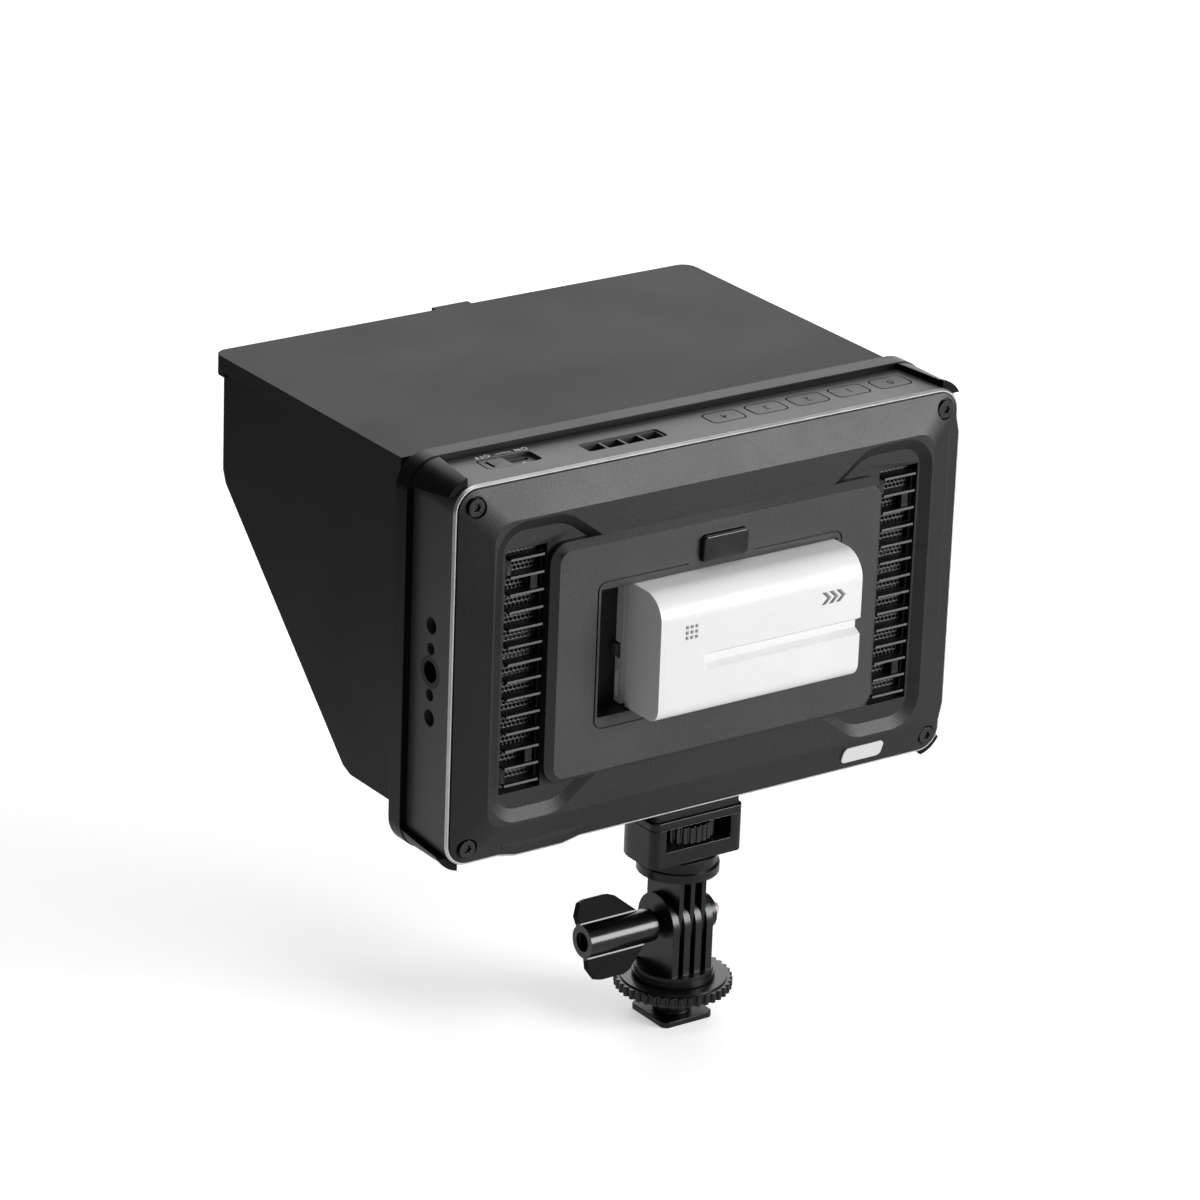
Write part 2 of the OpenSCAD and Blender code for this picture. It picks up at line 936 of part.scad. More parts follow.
// Small lugs that tie the outermost fins together, at the same places in both vents.
module fin_lugs(w) {
  lug_w = 2.4;
  lug_y0 = -1.6;
  in_x = w - 2 * lug_w;
  for (i = [0, fin_count - 2])
    block([-w, lug_y0, fin_z(i + 1)], [-w + lug_w, cover_y, fin_z(i)]);
  for (i = [1, fin_count - 3])
    block([in_x, lug_y0, fin_z(i + 1)], [in_x + lug_w, cover_y, fin_z(i)]);
}

// Fins of one vent, about the window's middle.
module vent_grille(s) {
  w = vent_w / 2 - 0.1;
  color([0.3, 0.3, 0.31])
    at_body()
      translate([s * vent_span / 2, 0, 0]) {
        for (i = [0 : fin_count - 1])
          union() {
            block([-w, pocket_y, fin_z(i) - fin_t / 2], [w, cover_y, fin_z(i) + fin_t / 2]);
            block([fin_in - w, -fin_out, fin_z(i) - fin_t / 2], [w - fin_in, cover_y, fin_z(i) + fin_t / 2]);
          }
        for (x = [-w, w - rail_t])
          block([x, pocket_y, fin_z(fin_count - 1)], [x + rail_t, cover_y, fin_z(0)]);
        fin_lugs(w);
      }
}

module vent_grille_left() {
  vent_grille(-1);
}

module vent_grille_right() {
  vent_grille(1);
}

// Perforated sheet of one vent, with a row of holes between each two fins.
module vent_mesh(s) {
  pitch = (vent_w - 2) / mesh_cols;
  color([0.1, 0.1, 0.1])
    at_body()
      translate([s * vent_span / 2, 0, 0])
        difference() {
          deep(cover_y, cover_y + mesh_t)
            square([vent_w + 2 * mesh_lap, vent_h + 2 * mesh_lap], center = true);
          for (i = [0 : fin_count - 2], k = [0 : mesh_cols - 1])
            translate([(k - (mesh_cols - 1) / 2) * pitch, 0, (fin_z(i) + fin_z(i + 1)) / 2])
              rod_y(mesh_hole_r, 0, cover_y + 1, $fn = 16);
        }
}

module vent_mesh_left() {
  vent_mesh(-1);
}

module vent_mesh_right() {
  vent_mesh(1);
}

hook_x = [-24, 12];
hook_l = 8;
latch_x = -31.6;
latch_w = 1.6;
latch_h = 3.8;
latch_post_r = 1.5;
latch_tip = batt_back - 1.5;
latch_y = well_floor + 1.2 + 0.45;
button_back = plate_y + rel_deep;
rel_floor = button_back + rel_out + 0.6;

module battery_plate() {
  floor_t = 1.2;
  color([0.13, 0.13, 0.14])
    at_body()
      difference() {
        union() {
          loft(plate_y, -cover_rise) {
            rrect(plate_w, plate_h, plate_r);
            rrect(plate_w + 2 * plate_bevel, plate_h + 2 * plate_bevel, plate_r + plate_bevel);
          }
          block([tub_x0, -cover_rise - tiny, batt_zc - tub_h / 2],
            [tub_x1, well_floor + floor_t, batt_zc + tub_h / 2]);
          deep(-cover_rise - tiny, rel_floor + rel_tub_floor)
            translate([0, rel_z])
              square([rel_tub_w, rel_tub_h], center = true);
        }
        difference() {
          block([well_x0, plate_y - 1, batt_zc - well_h / 2], [well_x1, well_floor, batt_zc + well_h / 2]);
          for (x = hook_x, s = [-1, 1])
            translate([x, rail_y, batt_zc + s * well_h / 2 - (s + 1) / 2 * rail_d])
              cube([hook_l, rail_w, rail_d]);
        }
        deep(plate_y - 1, rel_floor)
          translate([0, rel_z])
            rrect(rel_w + 2 * gap, rel_h + 2 * gap, 1.6);
        translate([0, 0, rel_z])
          rod_y(latch_post_r + run_fit, plate_y, big);
        translate([latch_x + latch_w / 2, 0, chan_z])
          block([-latch_w / 2 - gap, 0, -latch_h / 2 - gap], [latch_w / 2 + gap, 10, latch_h / 2 + gap]);
        engraving();
      }
}

// Fine line engraved round the well, open beside the release button.
module engraving() {
  line_w = 0.5;
  line_d = 0.4;
  x0 = -43.1;
  x1 = 42.8;
  z0 = -22;
  z1 = 23.3;
  line_r = 3;
  open_x0 = -12;
  open_x1 = 10.8;
  deep(plate_y - 1, plate_y + line_d)
    difference() {
      translate([(x0 + x1) / 2, (z0 + z1) / 2])
        rrect(x1 - x0, z1 - z0, line_r);
      translate([(x0 + x1) / 2, (z0 + z1) / 2])
        rrect(x1 - x0 - 2 * line_w, z1 - z0 - 2 * line_w, line_r - line_w);
      translate([open_x0, z1 - 2 * line_w])
        square([open_x1 - open_x0, 3 * line_w]);
    }
}

module terminal_block() {
  blades = 3;
  blade_w = 1.2;
  x1 = batt_x0 + batt_l;
  color([0.1, 0.1, 0.1])
    at_body()
      difference() {
        block([x1 - term_l, well_floor - term_d, batt_zc - term_w / 2], [well_x1, well_floor, batt_zc + term_w / 2]);
        for (i = [0 : blades - 1])
          translate([x1 - term_l - 1, well_floor - term_d - 1, batt_zc + (i - 1) * term_w / 3 - blade_w / 2])
            cube([2, term_d, blade_w]);
      }
}

module release_button() {
  color([0.04, 0.04, 0.045])
    at_body()
      translate([0, 0, rel_z])
        deep(plate_y - rel_out, button_back)
          rrect(rel_w, rel_h, 1.4);
}

module release_spring() {
  wire = 0.3;
  coils = 3;
  coil_r = latch_post_r + 3 * wire;
  pitch = (rel_floor - button_back - 2 * wire) / (coils - 1);
  color([0.7, 0.7, 0.72])
    at_body()
      translate([0, button_back + wire, rel_z])
        for (i = [0 : coils - 1]) {
          translate([0, i * pitch, 0])
            rotate([90, 0, 0])
              rotate_extrude()
                translate([coil_r, 0])
                  circle(wire);
          if (i < coils - 1)
            translate([coil_r * (i % 2 == 0 ? 1 : -1), 0, 0])
              rod_y(wire / 2, i * pitch, (i + 1) * pitch);
        }
}

module battery_latch() {
  bar = 5;
  lap = 1.4;
  y1 = latch_y + latch_t;
  color([0.3, 0.3, 0.32])
    at_body() {
      translate([0, 0, rel_z])
        rod_y(latch_post_r, button_back, latch_y + tiny);
      block([latch_x - lap, latch_y, rel_z - bar / 2], [bar / 2, y1, rel_z + bar / 2]);
      block([latch_x - lap, latch_y, chan_z - latch_h / 2], [latch_x + latch_w + lap, y1, rel_z]);
      block([latch_x, latch_tip, chan_z - latch_h / 2], [latch_x + latch_w, latch_y + tiny, chan_z + latch_h / 2]);
    }
}

module badge() {
  badge_w = 14.6;
  badge_h = 5.6;
  badge_t = 0.5;
  badge_x = half_w - 30.8;
  lean = atan2(cover_rise - seam_d, slope_w - cover_in);
  color([0.8, 0.8, 0.82])
    at_body()
      translate([badge_x, -(cover_rise + seam_d) / 2, -half_h + (slope_w + cover_in) / 2])
        rotate([lean, 0, 0])
          deep(-badge_t - 0.03, -0.03)
            rrect(badge_w, badge_h, 1.6);
}

module power_switch() {
  groove_x = -1.9;
  groove_w = 0.9;
  groove_d = 0.6;
  top_z = half_h - 0.1;
  stem = slit_w - 2 * run_fit;
  color([0.1, 0.1, 0.105])
    at_body()
      translate([slot_x - slide_travel / 2, slot_y, 0]) {
        difference() {
          translate([0, 0, half_h - slot_deep + 0.1])
            linear_extrude(top_z - half_h + slot_deep - 0.1)
              rrect(slide_w, slot_d - 2 * gap, 1.2);
          translate([groove_x, 0, top_z - groove_d])
            linear_extrude(1)
              square([groove_w, slot_d - 3], center = true);
        }
        block([-stem / 2, slit_off - stem / 2, half_h - wall - 1.2], [stem / 2, slit_off + stem / 2, half_h - slot_deep + 0.2]);
      }
}

module switch_body() {
  body_h = 3.2;
  z1 = half_h - wall;
  color([0.2, 0.2, 0.2])
    at_body()
      difference() {
        block([slot_x - slot_w / 2 - 1, slot_y - slot_d / 2, z1 - body_h], [slot_x + slot_w / 2 + 1, slot_y + slot_d / 2, z1]);
        block([slot_x - slot_w / 2 + 1, slot_y - slot_d / 2 + 1, z1 - 1.6], [slot_x + slot_w / 2 - 1, slot_y + slot_d / 2 - 1, z1 + 1]);
      }
}

module status_light() {
  color([0.9, 0.9, 0.92])
    at_body()
      translate([slot_x + light_x, slot_y - light_in, half_h - wall - 1.6])
        cylinder(r = 0.9, h = wall + 1.6 - slot_deep);
}

// Cap of push button i, with the flange that keeps it in.
module button(i) {
  z1 = half_h - wall - 0.2;
  color([0.1, 0.1, 0.105])
    at_body()
      translate([btn_x(i), btn_y, 0]) {
        translate([0, 0, z1 - btn_flange])
          linear_extrude(half_h + btn_proud - z1 + btn_flange)
            rrect(btn_w, btn_d, 1.7);
        translate([0, 0, z1 - btn_flange])
          linear_extrude(btn_flange)
            rrect(btn_w + 4 * gap, btn_d + 4 * gap, 2.2);
      }
}

module button_1() {
  button(0);
}

module button_2() {
  button(1);
}

module button_3() {
  button(2);
}

module button_4() {
  button(3);
}

module button_5() {
  button(4);
}

module button_board() {
  key = 4;
  key_top = half_h - wall - 0.2 - btn_flange - btn_travel - 0.15;
  color([0.05, 0.25, 0.12])
    at_body() {
      block([btn_x(0) - btn_pitch / 2, btn_y - btn_d / 2, board_z],
        [btn_x(btn_n - 1) + btn_w / 2 - 1, btn_y + btn_d / 2, board_z + board_t]);
      for (i = [0 : btn_n - 1])
        translate([btn_x(i) - key / 2, btn_y - key / 2, board_z + board_t - tiny])
          cube([key, key, key_top - board_z - board_t + tiny]);
    }
}

module side_insert() {
  color([0.55, 0.55, 0.57])
    at_body()
      translate([0, side_y, side_z])
        difference() {
          rod_x(insert_r, -half_w, -half_w + insert_len);
          rod_x(screw_hole_r, -half_w - 1, -half_w + insert_len + 1);
        }
}

module side_block() {
  x0 = -half_w + wall;
  deep_hole = 4;
  color([0.13, 0.13, 0.14])
    at_body()
      difference() {
        block([x0, side_y - side_block_w / 2, side_z - side_block_h / 2],
          [x0 + side_block_t, side_y + side_block_w / 2, side_z + side_block_h / 2]);
        translate([0, side_y, side_z]) {
          rod_x(insert_r + run_fit, x0 - 1, x0 + side_block_t + 1);
          for (s = [-1, 1]) {
            translate([0, 0, s * pin_pitch])
              rod_x(pin_hole_r, x0 - 1, x0 + deep_hole);
            translate([0, 0, s * tap_pitch])
              rod_x(tap_hole_r, x0 - 1, x0 + deep_hole);
          }
        }
      }
}

module base_insert() {
  color([0.55, 0.55, 0.57])
    at_body()
      translate([0, setback, -half_h])
        difference() {
          cylinder(r = insert_r, h = insert_len);
          translate([0, 0, -1])
            cylinder(r = screw_hole_r, h = insert_len + 2);
        }
}

module hdmi_sockets() {
  shell = 0.5;
  long = 11;
  tongue = 1.0;
  x1 = half_w + bulge - 0.3;
  color([0.6, 0.6, 0.62])
    at_body()
      for (z = hdmi_z)
        translate([x1 - long, socket_y, z])
          difference() {
            block([0, -hdmi_t / 2, -hdmi_w / 2], [long, hdmi_t / 2, hdmi_w / 2]);
            difference() {
              block([2, shell - hdmi_t / 2, shell - hdmi_w / 2], [long + 1, hdmi_t / 2 - shell, hdmi_w / 2 - shell]);
              block([1, -tongue / 2, -hdmi_w / 2 + 2], [long - 1, tongue / 2, hdmi_w / 2 - 2]);
            }
          }
}

module power_socket() {
  long = 11;
  x1 = half_w + bulge - 0.3;
  color([0.15, 0.15, 0.15])
    at_body()
      translate([0, socket_y, jack_z])
        difference() {
          rod_x(jack_r, x1 - long, x1);
          difference() {
            rod_x(2.8, x1 - long + 2, x1 + 1);
            rod_x(1, x1 - long, x1 - 1);
          }
        }
}

module front_bezel() {
  color([0.04, 0.04, 0.04])
    at_body()
      deep(bezel_y, bezel_y + bezel_t)
        difference() {
          body2d(-wall - 0.1);
          square([view_w + 1, view_h + 1], center = true);
        }
}

module front_glass() {
  color([0.03, 0.03, 0.035])
    at_body()
      deep(mon_depth - glass_t, mon_depth)
        body2d(-wall - 0.1);
}

module lcd_panel() {
  color([0.1, 0.1, 0.12])
    at_body()
      deep(panel_y, bezel_y)
        square([panel_w, panel_h], center = true);
}

module backlight() {
  color([0.7, 0.7, 0.7])
    at_body()
      deep(light_y, panel_y)
        square([panel_w, panel_h], center = true);
}

board_w = mon_w - 70.4;
board_h = mon_h - 31.2;
pcb_t = 1.2;
stand = 1.6;
pcb_y = sink_y - stand - pcb_t;
fan_x = 24;
fan_z = -6;
fan_size = 34;
fan_t = 5.0;
fan_pin_r = 1.0;

module heat_sink() {
  inner_fins = 12;
  inner_fin_t = 1.0;
  stand_r = 2.2;
  color([0.65, 0.66, 0.68])
    at_body() {
      deep(sink_y, light_y)
        square([panel_w - 4, panel_h - 4], center = true);
      for (x = [-1, 1], z = [-1, 1])
        translate([x * (board_w / 2 - 4), 0, z * (board_h / 2 - 4)])
          rod_y(stand_r, pcb_y + pcb_t, sink_y + tiny);
      for (s = [-1, 1], i = [0 : inner_fins - 1])
        translate([s * vent_span / 2, 0, (i - (inner_fins - 1) / 2) * (vent_h - 8) / (inner_fins - 1)])
          block([-vent_w / 2 + 1, cover_y + mesh_t + 1, -inner_fin_t / 2], [vent_w / 2 - 1, sink_y + tiny, inner_fin_t / 2]);
    }
}

module main_board() {
  color([0.04, 0.25, 0.12])
    at_body()
      deep(pcb_y, pcb_y + pcb_t)
        square([board_w, board_h], center = true);
}

module fan_frame() {
  bore = fan_size / 2 - 1.2;
  hub = 5.5;
  base = 0.8;
  y0 = pcb_y - fan_t;
  color([0.07, 0.07, 0.07])
    at_body()
      translate([fan_x, 0, fan_z]) {
        deep(y0, pcb_y)
          difference() {
            rrect(fan_size, fan_size, 2);
            circle(bore);
          }
        rod_y(hub, pcb_y - base, pcb_y);
        rod_y(fan_pin_r, y0 + 0.6, pcb_y - base + tiny);
        deep(pcb_y - base, pcb_y)
          for (a = [0, 90])
            rotate(a + 45)
              square([2 * bore + 1, 2], center = true);
      }
}

module fan_rotor() {
  blades = 7;
  tip = fan_size / 2 - 2.2;
  hub = 6.5;
  y0 = pcb_y - fan_t + 0.4;
  y1 = pcb_y - 0.8 - gap;
  color([0.12, 0.12, 0.12])
    at_body()
      translate([fan_x, 0, fan_z])
        difference() {
          union() {
            rod_y(hub, y0, y1);
            intersection() {
              rod_y(tip, y0, y1);
              for (i = [0 : blades - 1])
                rotate([0, i * 360 / blades, 0])
                  translate([hub - 0.5, (y0 + y1) / 2, 0])
                    rotate([38, 0, 0])
                      translate([0, -0.4, -2.2])
                        cube([tip, 0.8, 4.4]);
            }
          }
          rod_y(fan_pin_r + run_fit, y0 - 1, y1 + 1);
        }
}

// ---------- battery ----------

batt_x1 = batt_x0 + batt_l;
batt_front = batt_back - batt_t;
cell_y = batt_front + batt_t / 2;
cell_off = 9.25;
cell_gap = 0.15;

module battery_shell() {
  cell_end = batt_x0 + end_t + cell_len + 2 * cell_gap;
  color([0.93, 0.93, 0.93])
    at_body()
      difference() {
        across(batt_x0 + end_t, batt_x1)
          battery2d();
        for (s = [-1, 1])
          translate([0, cell_y, batt_zc + s * cell_off])
            rod_x(cell_r + cell_gap, batt_x0, cell_end);
        battery_cuts();
        face_track();
      }
}

// Track along the battery's face, open at its right end, with a round-ended step in its floor.
module face_track() {
  track_in = 15.5;
  key_in = 37;
  track_x = batt_x0 + track_in;
  key_x = batt_x0 + key_in;
  track_d = 2.2;
  key_d = 0.25;
  lip_z0 = -4.1;
  lip_z1 = 1.0;
  low_taper = 1.25;
  top_taper = 1.4;
  floor_z0 = lip_z0 + low_taper;
  floor_z1 = lip_z1 - top_taper;
  key_r = (floor_z1 - floor_z0) / 2;
  across(track_x, batt_x1 + 1)
    polygon([[batt_front - tiny, lip_z0], [batt_front - tiny, lip_z1], [batt_front + track_d, floor_z1],
      [batt_front + track_d, floor_z0]]);
  block([key_x + key_r, batt_front, floor_z0], [batt_x1 + 1, batt_front + track_d + key_d, floor_z1]);
  translate([key_x + key_r, 0, floor_z0 + key_r])
    rod_y(key_r, batt_front, batt_front + track_d + key_d);
}

// End outline of the battery: the back is square, the face has one large and one small rounding.
module battery2d() {
  top_r = 8;
  low_r = 4.5;
  z0 = batt_zc - batt_h / 2;
  z1 = batt_zc + batt_h / 2;
  translate([batt_front + top_r, z1 - top_r])
    circle(top_r);
  translate([batt_front + low_r, z0 + low_r])
    circle(low_r);
  polygon([[batt_back, z0], [batt_back, z1], [batt_front + top_r, z1], [batt_front + top_r, z1 - top_r],
    [batt_front, z1 - top_r], [batt_front, z0 + low_r], [batt_front + low_r, z0 + low_r],
    [batt_front + low_r, z0]]);
}

// Grooves for the well's hooks, the latch's channel and the terminal's pocket.
module battery_cuts() {
  deep_cut = rail_d + gap - well_gap;
  y1 = rail_y + rail_w + gap;
  for (s = [-1, 1])
    translate([0, 0, batt_zc + s * (batt_h / 2 - deep_cut / 2)]) {
      block([batt_x0 - 1, rail_y - gap, -deep_cut / 2 - (1 - s) / 2], [batt_x1 + 1, y1, deep_cut / 2 + (1 + s) / 2]);
      for (x = hook_x)
        block([x + batt_travel - gap, rail_y, -deep_cut / 2 - (1 - s) / 2],
          [x + batt_travel + hook_l + gap, batt_back + 1, deep_cut / 2 + (1 + s) / 2]);
    }
  for (s = [-1, 1], d = [6.4, 8.2])
    translate([0, batt_back - d, batt_zc + s * batt_h / 2])
      block([batt_x0 - 1, -case_line / 2, -case_line], [batt_x1 + 1, case_line / 2, case_line]);
  block([batt_x0 - 1, batt_back - chan_d, chan_z - chan_w / 2],
    [batt_x0 + chan_l, batt_back + 1, chan_z + chan_w / 2]);
  block([batt_x1 - term_l - gap, well_floor - term_d - gap, batt_zc - term_w / 2 - gap],
    [batt_x1 + 1, batt_back + 1, batt_zc + term_w / 2 + gap]);
}

module battery_end_cap() {
  port_w = 2.2;
  port_l = 8.2;
  port_y = batt_back - 1.5;
  port_z = -12.5;
  port_d = 1.1;
  seam_w = 0.25;
  seam_d = 0.25;
  color([0.93, 0.93, 0.93])
    at_body()
      difference() {
        across(batt_x0, batt_x0 + end_t)
          battery2d();
        battery_cuts();
        for (k = [3.8, 6.4])
          block([batt_x0 - 1, batt_back - k, -big], [batt_x0 + seam_d, batt_back - k + seam_w, big]);
        across(batt_x0 - 1, batt_x0 + port_d)
          translate([port_y, port_z]) {
            square([port_w, port_l - port_w], center = true);
            for (s = [-1, 1])
              translate([0, s * (port_l - port_w) / 2])
                circle(port_w / 2);
          }
      }
}

module battery_cells() {
  color([0.2, 0.3, 0.6])
    at_body()
      for (s = [-1, 1])
        translate([0, cell_y, batt_zc + s * cell_off])
          rod_x(cell_r, batt_x0 + end_t + cell_gap, batt_x0 + end_t + cell_gap + cell_len);
}

// ---------- hood ----------

// One ear of a hinge along X, fixed to the frame's face.
module top_ear(x0) {
  difference() {
    union() {
      block([x0, frame_y1 - tiny, top_axis_z - knuckle_r], [x0 + ear_t, top_axis_y, top_axis_z - hinge_gap]);
      translate([0, top_axis_y, top_axis_z])
        rod_x(knuckle_r, x0, x0 + ear_t);
    }
    translate([0, top_axis_y, top_axis_z])
      rod_x(hinge_pin_r + run_fit, x0 - 1, x0 + ear_t + 1);
  }
}

// One ear of a flap hinge along Z.
module wing_ear(s, ya, z0) {
  difference() {
    union() {
      block([s * wing_x - knuckle_r, frame_y1 - tiny, z0], [s * wing_x + knuckle_r, ya, z0 + wing_ear]);
      translate([s * wing_x, ya, z0])
        cylinder(r = knuckle_r, h = wing_ear);
    }
    translate([s * wing_x, ya, z0 - 1])
      cylinder(r = hinge_pin_r + run_fit, h = wing_ear + 2);
  }
}

// Start of each top hinge's outer ear, measured from the barrel's middle.
ear_off = top_barrel / 2 + hinge_gap;
wing_ear_off = wing_barrel / 2 + hinge_gap;

// Gap between two corner guards, wider at their rear ends by f on each side.
module arm_gap2d(half, f) {
  polygon([[-half, frame_y0 + 1], [half, frame_y0 + 1], [half, frame_y0], [half + f, guard_y0 - tiny],
    [half + f, guard_y0 - 1], [-half - f, guard_y0 - 1], [-half - f, guard_y0 - tiny], [-half, frame_y0]]);
}

module hood_frame() {
  seat = 0.1;
  color([0.07, 0.07, 0.075])
    at_body() {
      deep(frame_y0, mon_depth + seat)
        difference() {
          rrect(frame_w, frame_h, frame_r);
          body2d(fit_gap);
        }
      deep(mon_depth + seat - tiny, frame_y1)
        difference() {
          rrect(frame_w, frame_h, frame_r);
          rrect(window_w, window_h, 3);
        }
      difference() {
        union() {
          deep(guard_y0, frame_y0 + tiny)
            rrect(frame_w - 2 * guard_step, frame_h - 2 * guard_step, frame_r - guard_step);
          deep(guard_y0, guard_y0 + bead)
            rrect(frame_w, frame_h, frame_r);
        }
        deep(guard_y0 - 1, frame_y0 + 1)
          body2d(fit_gap);
        translate([0, 0, -big / 2])
          linear_extrude(big)
            arm_gap2d(guard_x, guard_flare);
        across(-big / 2, big / 2)
          rotate(90)
            mirror([0, 1])
              arm_gap2d(guard_z, guard_flare);
      }
      for (s = [-1, 1], k = [-ear_off - ear_t, ear_off])
        top_ear(s * top_hinge_x + k);
      for (z = [-1, 1], k = [-wing_ear_off - wing_ear, wing_ear_off]) {
        wing_ear(-1, wing_axis_l, z * wing_station + k);
        wing_ear(1, wing_axis_r, z * wing_station + k);
      }
    }
}

flap_r = 4.5;

// Plan of the top flap, drawn in by g at the sides and front.
module flap2d(g) {
  l = hood_reach - g;
  intersection() {
    translate([0, l / 2])
      rrect(hood_w - 2 * g, l, flap_r - g);
    translate([-big / 2, top_rear_y])
      square([big, hood_reach]);
  }
}

module hood_top() {
  under = hood_top_z - flap_t;
  color([0.06, 0.06, 0.065])
    at_body()
      difference() {
        union() {
          translate([0, 0, under])
            linear_extrude(flap_t)
              flap2d(0);
          translate([0, 0, hood_top_z - lip_depth])
            linear_extrude(lip_depth - flap_t / 2)
              difference() {
                flap2d(0);
                flap2d(flap_t);
              }
          translate([0, 0, hood_top_z - lip_depth - clip_more])
            linear_extrude(lip_depth)
              intersection() {
                difference() {
                  flap2d(0);
                  flap2d(flap_t);
                }
                for (s = [-1, 1])
                  translate([s * (hood_w / 2 - flap_r / 2), hood_reach - clip_len / 2])
                    square([flap_r, clip_len], center = true);
              }
          block([-1 - tab_w / 2, hood_reach - tiny, under], [-1 + tab_w / 2, hood_reach + tab_out, hood_top_z]);
          for (s = [-1, 1]) {
            translate([s * top_hinge_x, top_axis_y, top_axis_z])
              rod_x(knuckle_r, -top_barrel / 2, top_barrel / 2);
            block([s * top_hinge_x - top_barrel / 2, top_axis_y, top_axis_z],
              [s * top_hinge_x + top_barrel / 2, top_axis_y + knuckle_r, under + tiny]);
          }
        }
        for (s = [-1, 1])
          translate([s * top_hinge_x, top_axis_y, top_axis_z])
            rod_x(hinge_pin_r + run_fit, -top_barrel, top_barrel);
      }
}

module hood_top_pins() {
  l = ear_off + ear_t;
  color([0.6, 0.6, 0.62])
    at_body()
      for (s = [-1, 1])
        translate([s * top_hinge_x, top_axis_y, top_axis_z])
          rod_x(hinge_pin_r, -l, l);
}

wing_drop = 17.3;
wing_foot = 61.2;

// Side flap about its hinge: left is -1 and right is 1.
module wing(s, ya) {
  root = max(ya + knuckle_r + 0.5, wing_root_y);
  cut = 2.4;
  slope = (wing_drop - wing_z0) / (wing_front - wing_foot);
  color([0.055, 0.055, 0.06])
    at_body()
      translate([s * wing_x, 0, 0])
        difference() {
          union() {
            across(-wing_t / 2, wing_t / 2)
              polygon([[root, wing_z0], [root, wing_z1], [wing_front - 1, wing_z1], [wing_front, wing_z1 - 1],
                [wing_front, wing_drop + cut], [wing_front - cut * 0.7, wing_drop - cut * 0.7 * slope],
                [wing_foot + cut * 0.7, wing_z0 + cut * 0.7 * slope], [wing_foot - cut, wing_z0]]);
            for (z = [-1, 1])
              translate([0, ya, z * wing_station - wing_barrel / 2]) {
                cylinder(r = knuckle_r, h = wing_barrel);
                translate([-wing_t / 2, 0, 0])
                  cube([wing_t, root - ya + tiny, wing_barrel]);
              }
          }
          for (z = [-1, 1])
            translate([0, ya, z * wing_station - wing_barrel])
              cylinder(r = hinge_pin_r + run_fit, h = 2 * wing_barrel);
        }
}

module hood_wing_left() {
  wing(-1, wing_axis_l);
}

module hood_wing_right() {
  wing(1, wing_axis_r);
}

// Hinge pins of one side flap.
module wing_pins(s, ya) {
  l = wing_ear_off + wing_ear;
  color([0.6, 0.6, 0.62])
    at_body()
      for (z = [-1, 1])
        translate([s * wing_x, ya, z * wing_station - l])
          cylinder(r = hinge_pin_r, h = 2 * l);
}

module wing_left_pins() {
  wing_pins(-1, wing_axis_l);
}

module wing_right_pins() {
  wing_pins(1, wing_axis_r);
}

shoe_foot();
thrust_washer();
lock_wheel();
lower_fork();
pivot_bolt();
cap_nut();
wing_knob();
upper_fork();
swivel_screw();
mount_block();
block_cap();
thumbwheel();
mount_screw();
rubber_pad();
mid_frame();
trim_ring();
rear_cover();
cover_screws();
vent_grille_left();
vent_grille_right();
vent_mesh_left();
vent_mesh_right();
battery_plate();
terminal_block();
release_button();
release_spring();
battery_latch();
badge();
power_switch();
switch_body();
status_light();
button_1();
button_2();
button_3();
button_4();
button_5();
button_board();
side_insert();
side_block();
base_insert();
hdmi_sockets();
power_socket();
front_bezel();
front_glass();
lcd_panel();
backlight();
heat_sink();
main_board();
fan_frame();
fan_rotor();
battery_shell();
battery_end_cap();
battery_cells();
hood_frame();
hood_top();
hood_top_pins();
hood_wing_left();
hood_wing_right();
wing_left_pins();
wing_right_pins();
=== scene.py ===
"""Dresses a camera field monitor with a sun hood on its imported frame, for a studio picture.

Sizes in fields are millimetres. Meshes are in metres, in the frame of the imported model: the origin is
the middle of the shoe foot's underside, Z is up and +Y points from the back towards the screen. Places
named "on the body" are measured from the middle of the body's rear rim, and Place.body turns them into
the frame.
"""

import json
import logging
import math
from dataclasses import dataclass
from enum import Enum

import bmesh
import bpy
import numpy as np
from mathutils import Matrix

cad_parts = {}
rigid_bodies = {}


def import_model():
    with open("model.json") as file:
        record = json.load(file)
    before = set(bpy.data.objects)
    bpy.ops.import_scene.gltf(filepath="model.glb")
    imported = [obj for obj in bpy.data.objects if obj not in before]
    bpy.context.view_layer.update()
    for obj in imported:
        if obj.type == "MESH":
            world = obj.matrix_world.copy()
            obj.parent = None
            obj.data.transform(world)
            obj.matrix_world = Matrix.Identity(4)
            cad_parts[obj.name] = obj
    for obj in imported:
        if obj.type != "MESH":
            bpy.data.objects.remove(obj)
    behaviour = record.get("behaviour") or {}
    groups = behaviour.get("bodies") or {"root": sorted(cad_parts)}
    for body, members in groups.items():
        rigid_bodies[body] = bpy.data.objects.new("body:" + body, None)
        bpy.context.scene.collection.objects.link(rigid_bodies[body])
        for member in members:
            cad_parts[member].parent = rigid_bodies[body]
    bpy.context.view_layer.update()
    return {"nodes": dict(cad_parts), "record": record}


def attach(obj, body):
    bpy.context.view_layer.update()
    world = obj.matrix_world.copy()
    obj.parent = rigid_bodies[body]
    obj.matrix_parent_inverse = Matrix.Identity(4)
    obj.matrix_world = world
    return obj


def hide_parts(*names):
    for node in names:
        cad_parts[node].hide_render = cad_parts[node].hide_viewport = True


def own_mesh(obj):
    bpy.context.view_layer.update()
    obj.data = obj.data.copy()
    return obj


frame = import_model()
LOG = logging.getLogger("field_monitor")
MM = 0.001
WELD = 1e-7
Colour = tuple[float, float, float]
Spot = tuple[float, float, float]
Socket = bpy.types.NodeSocket


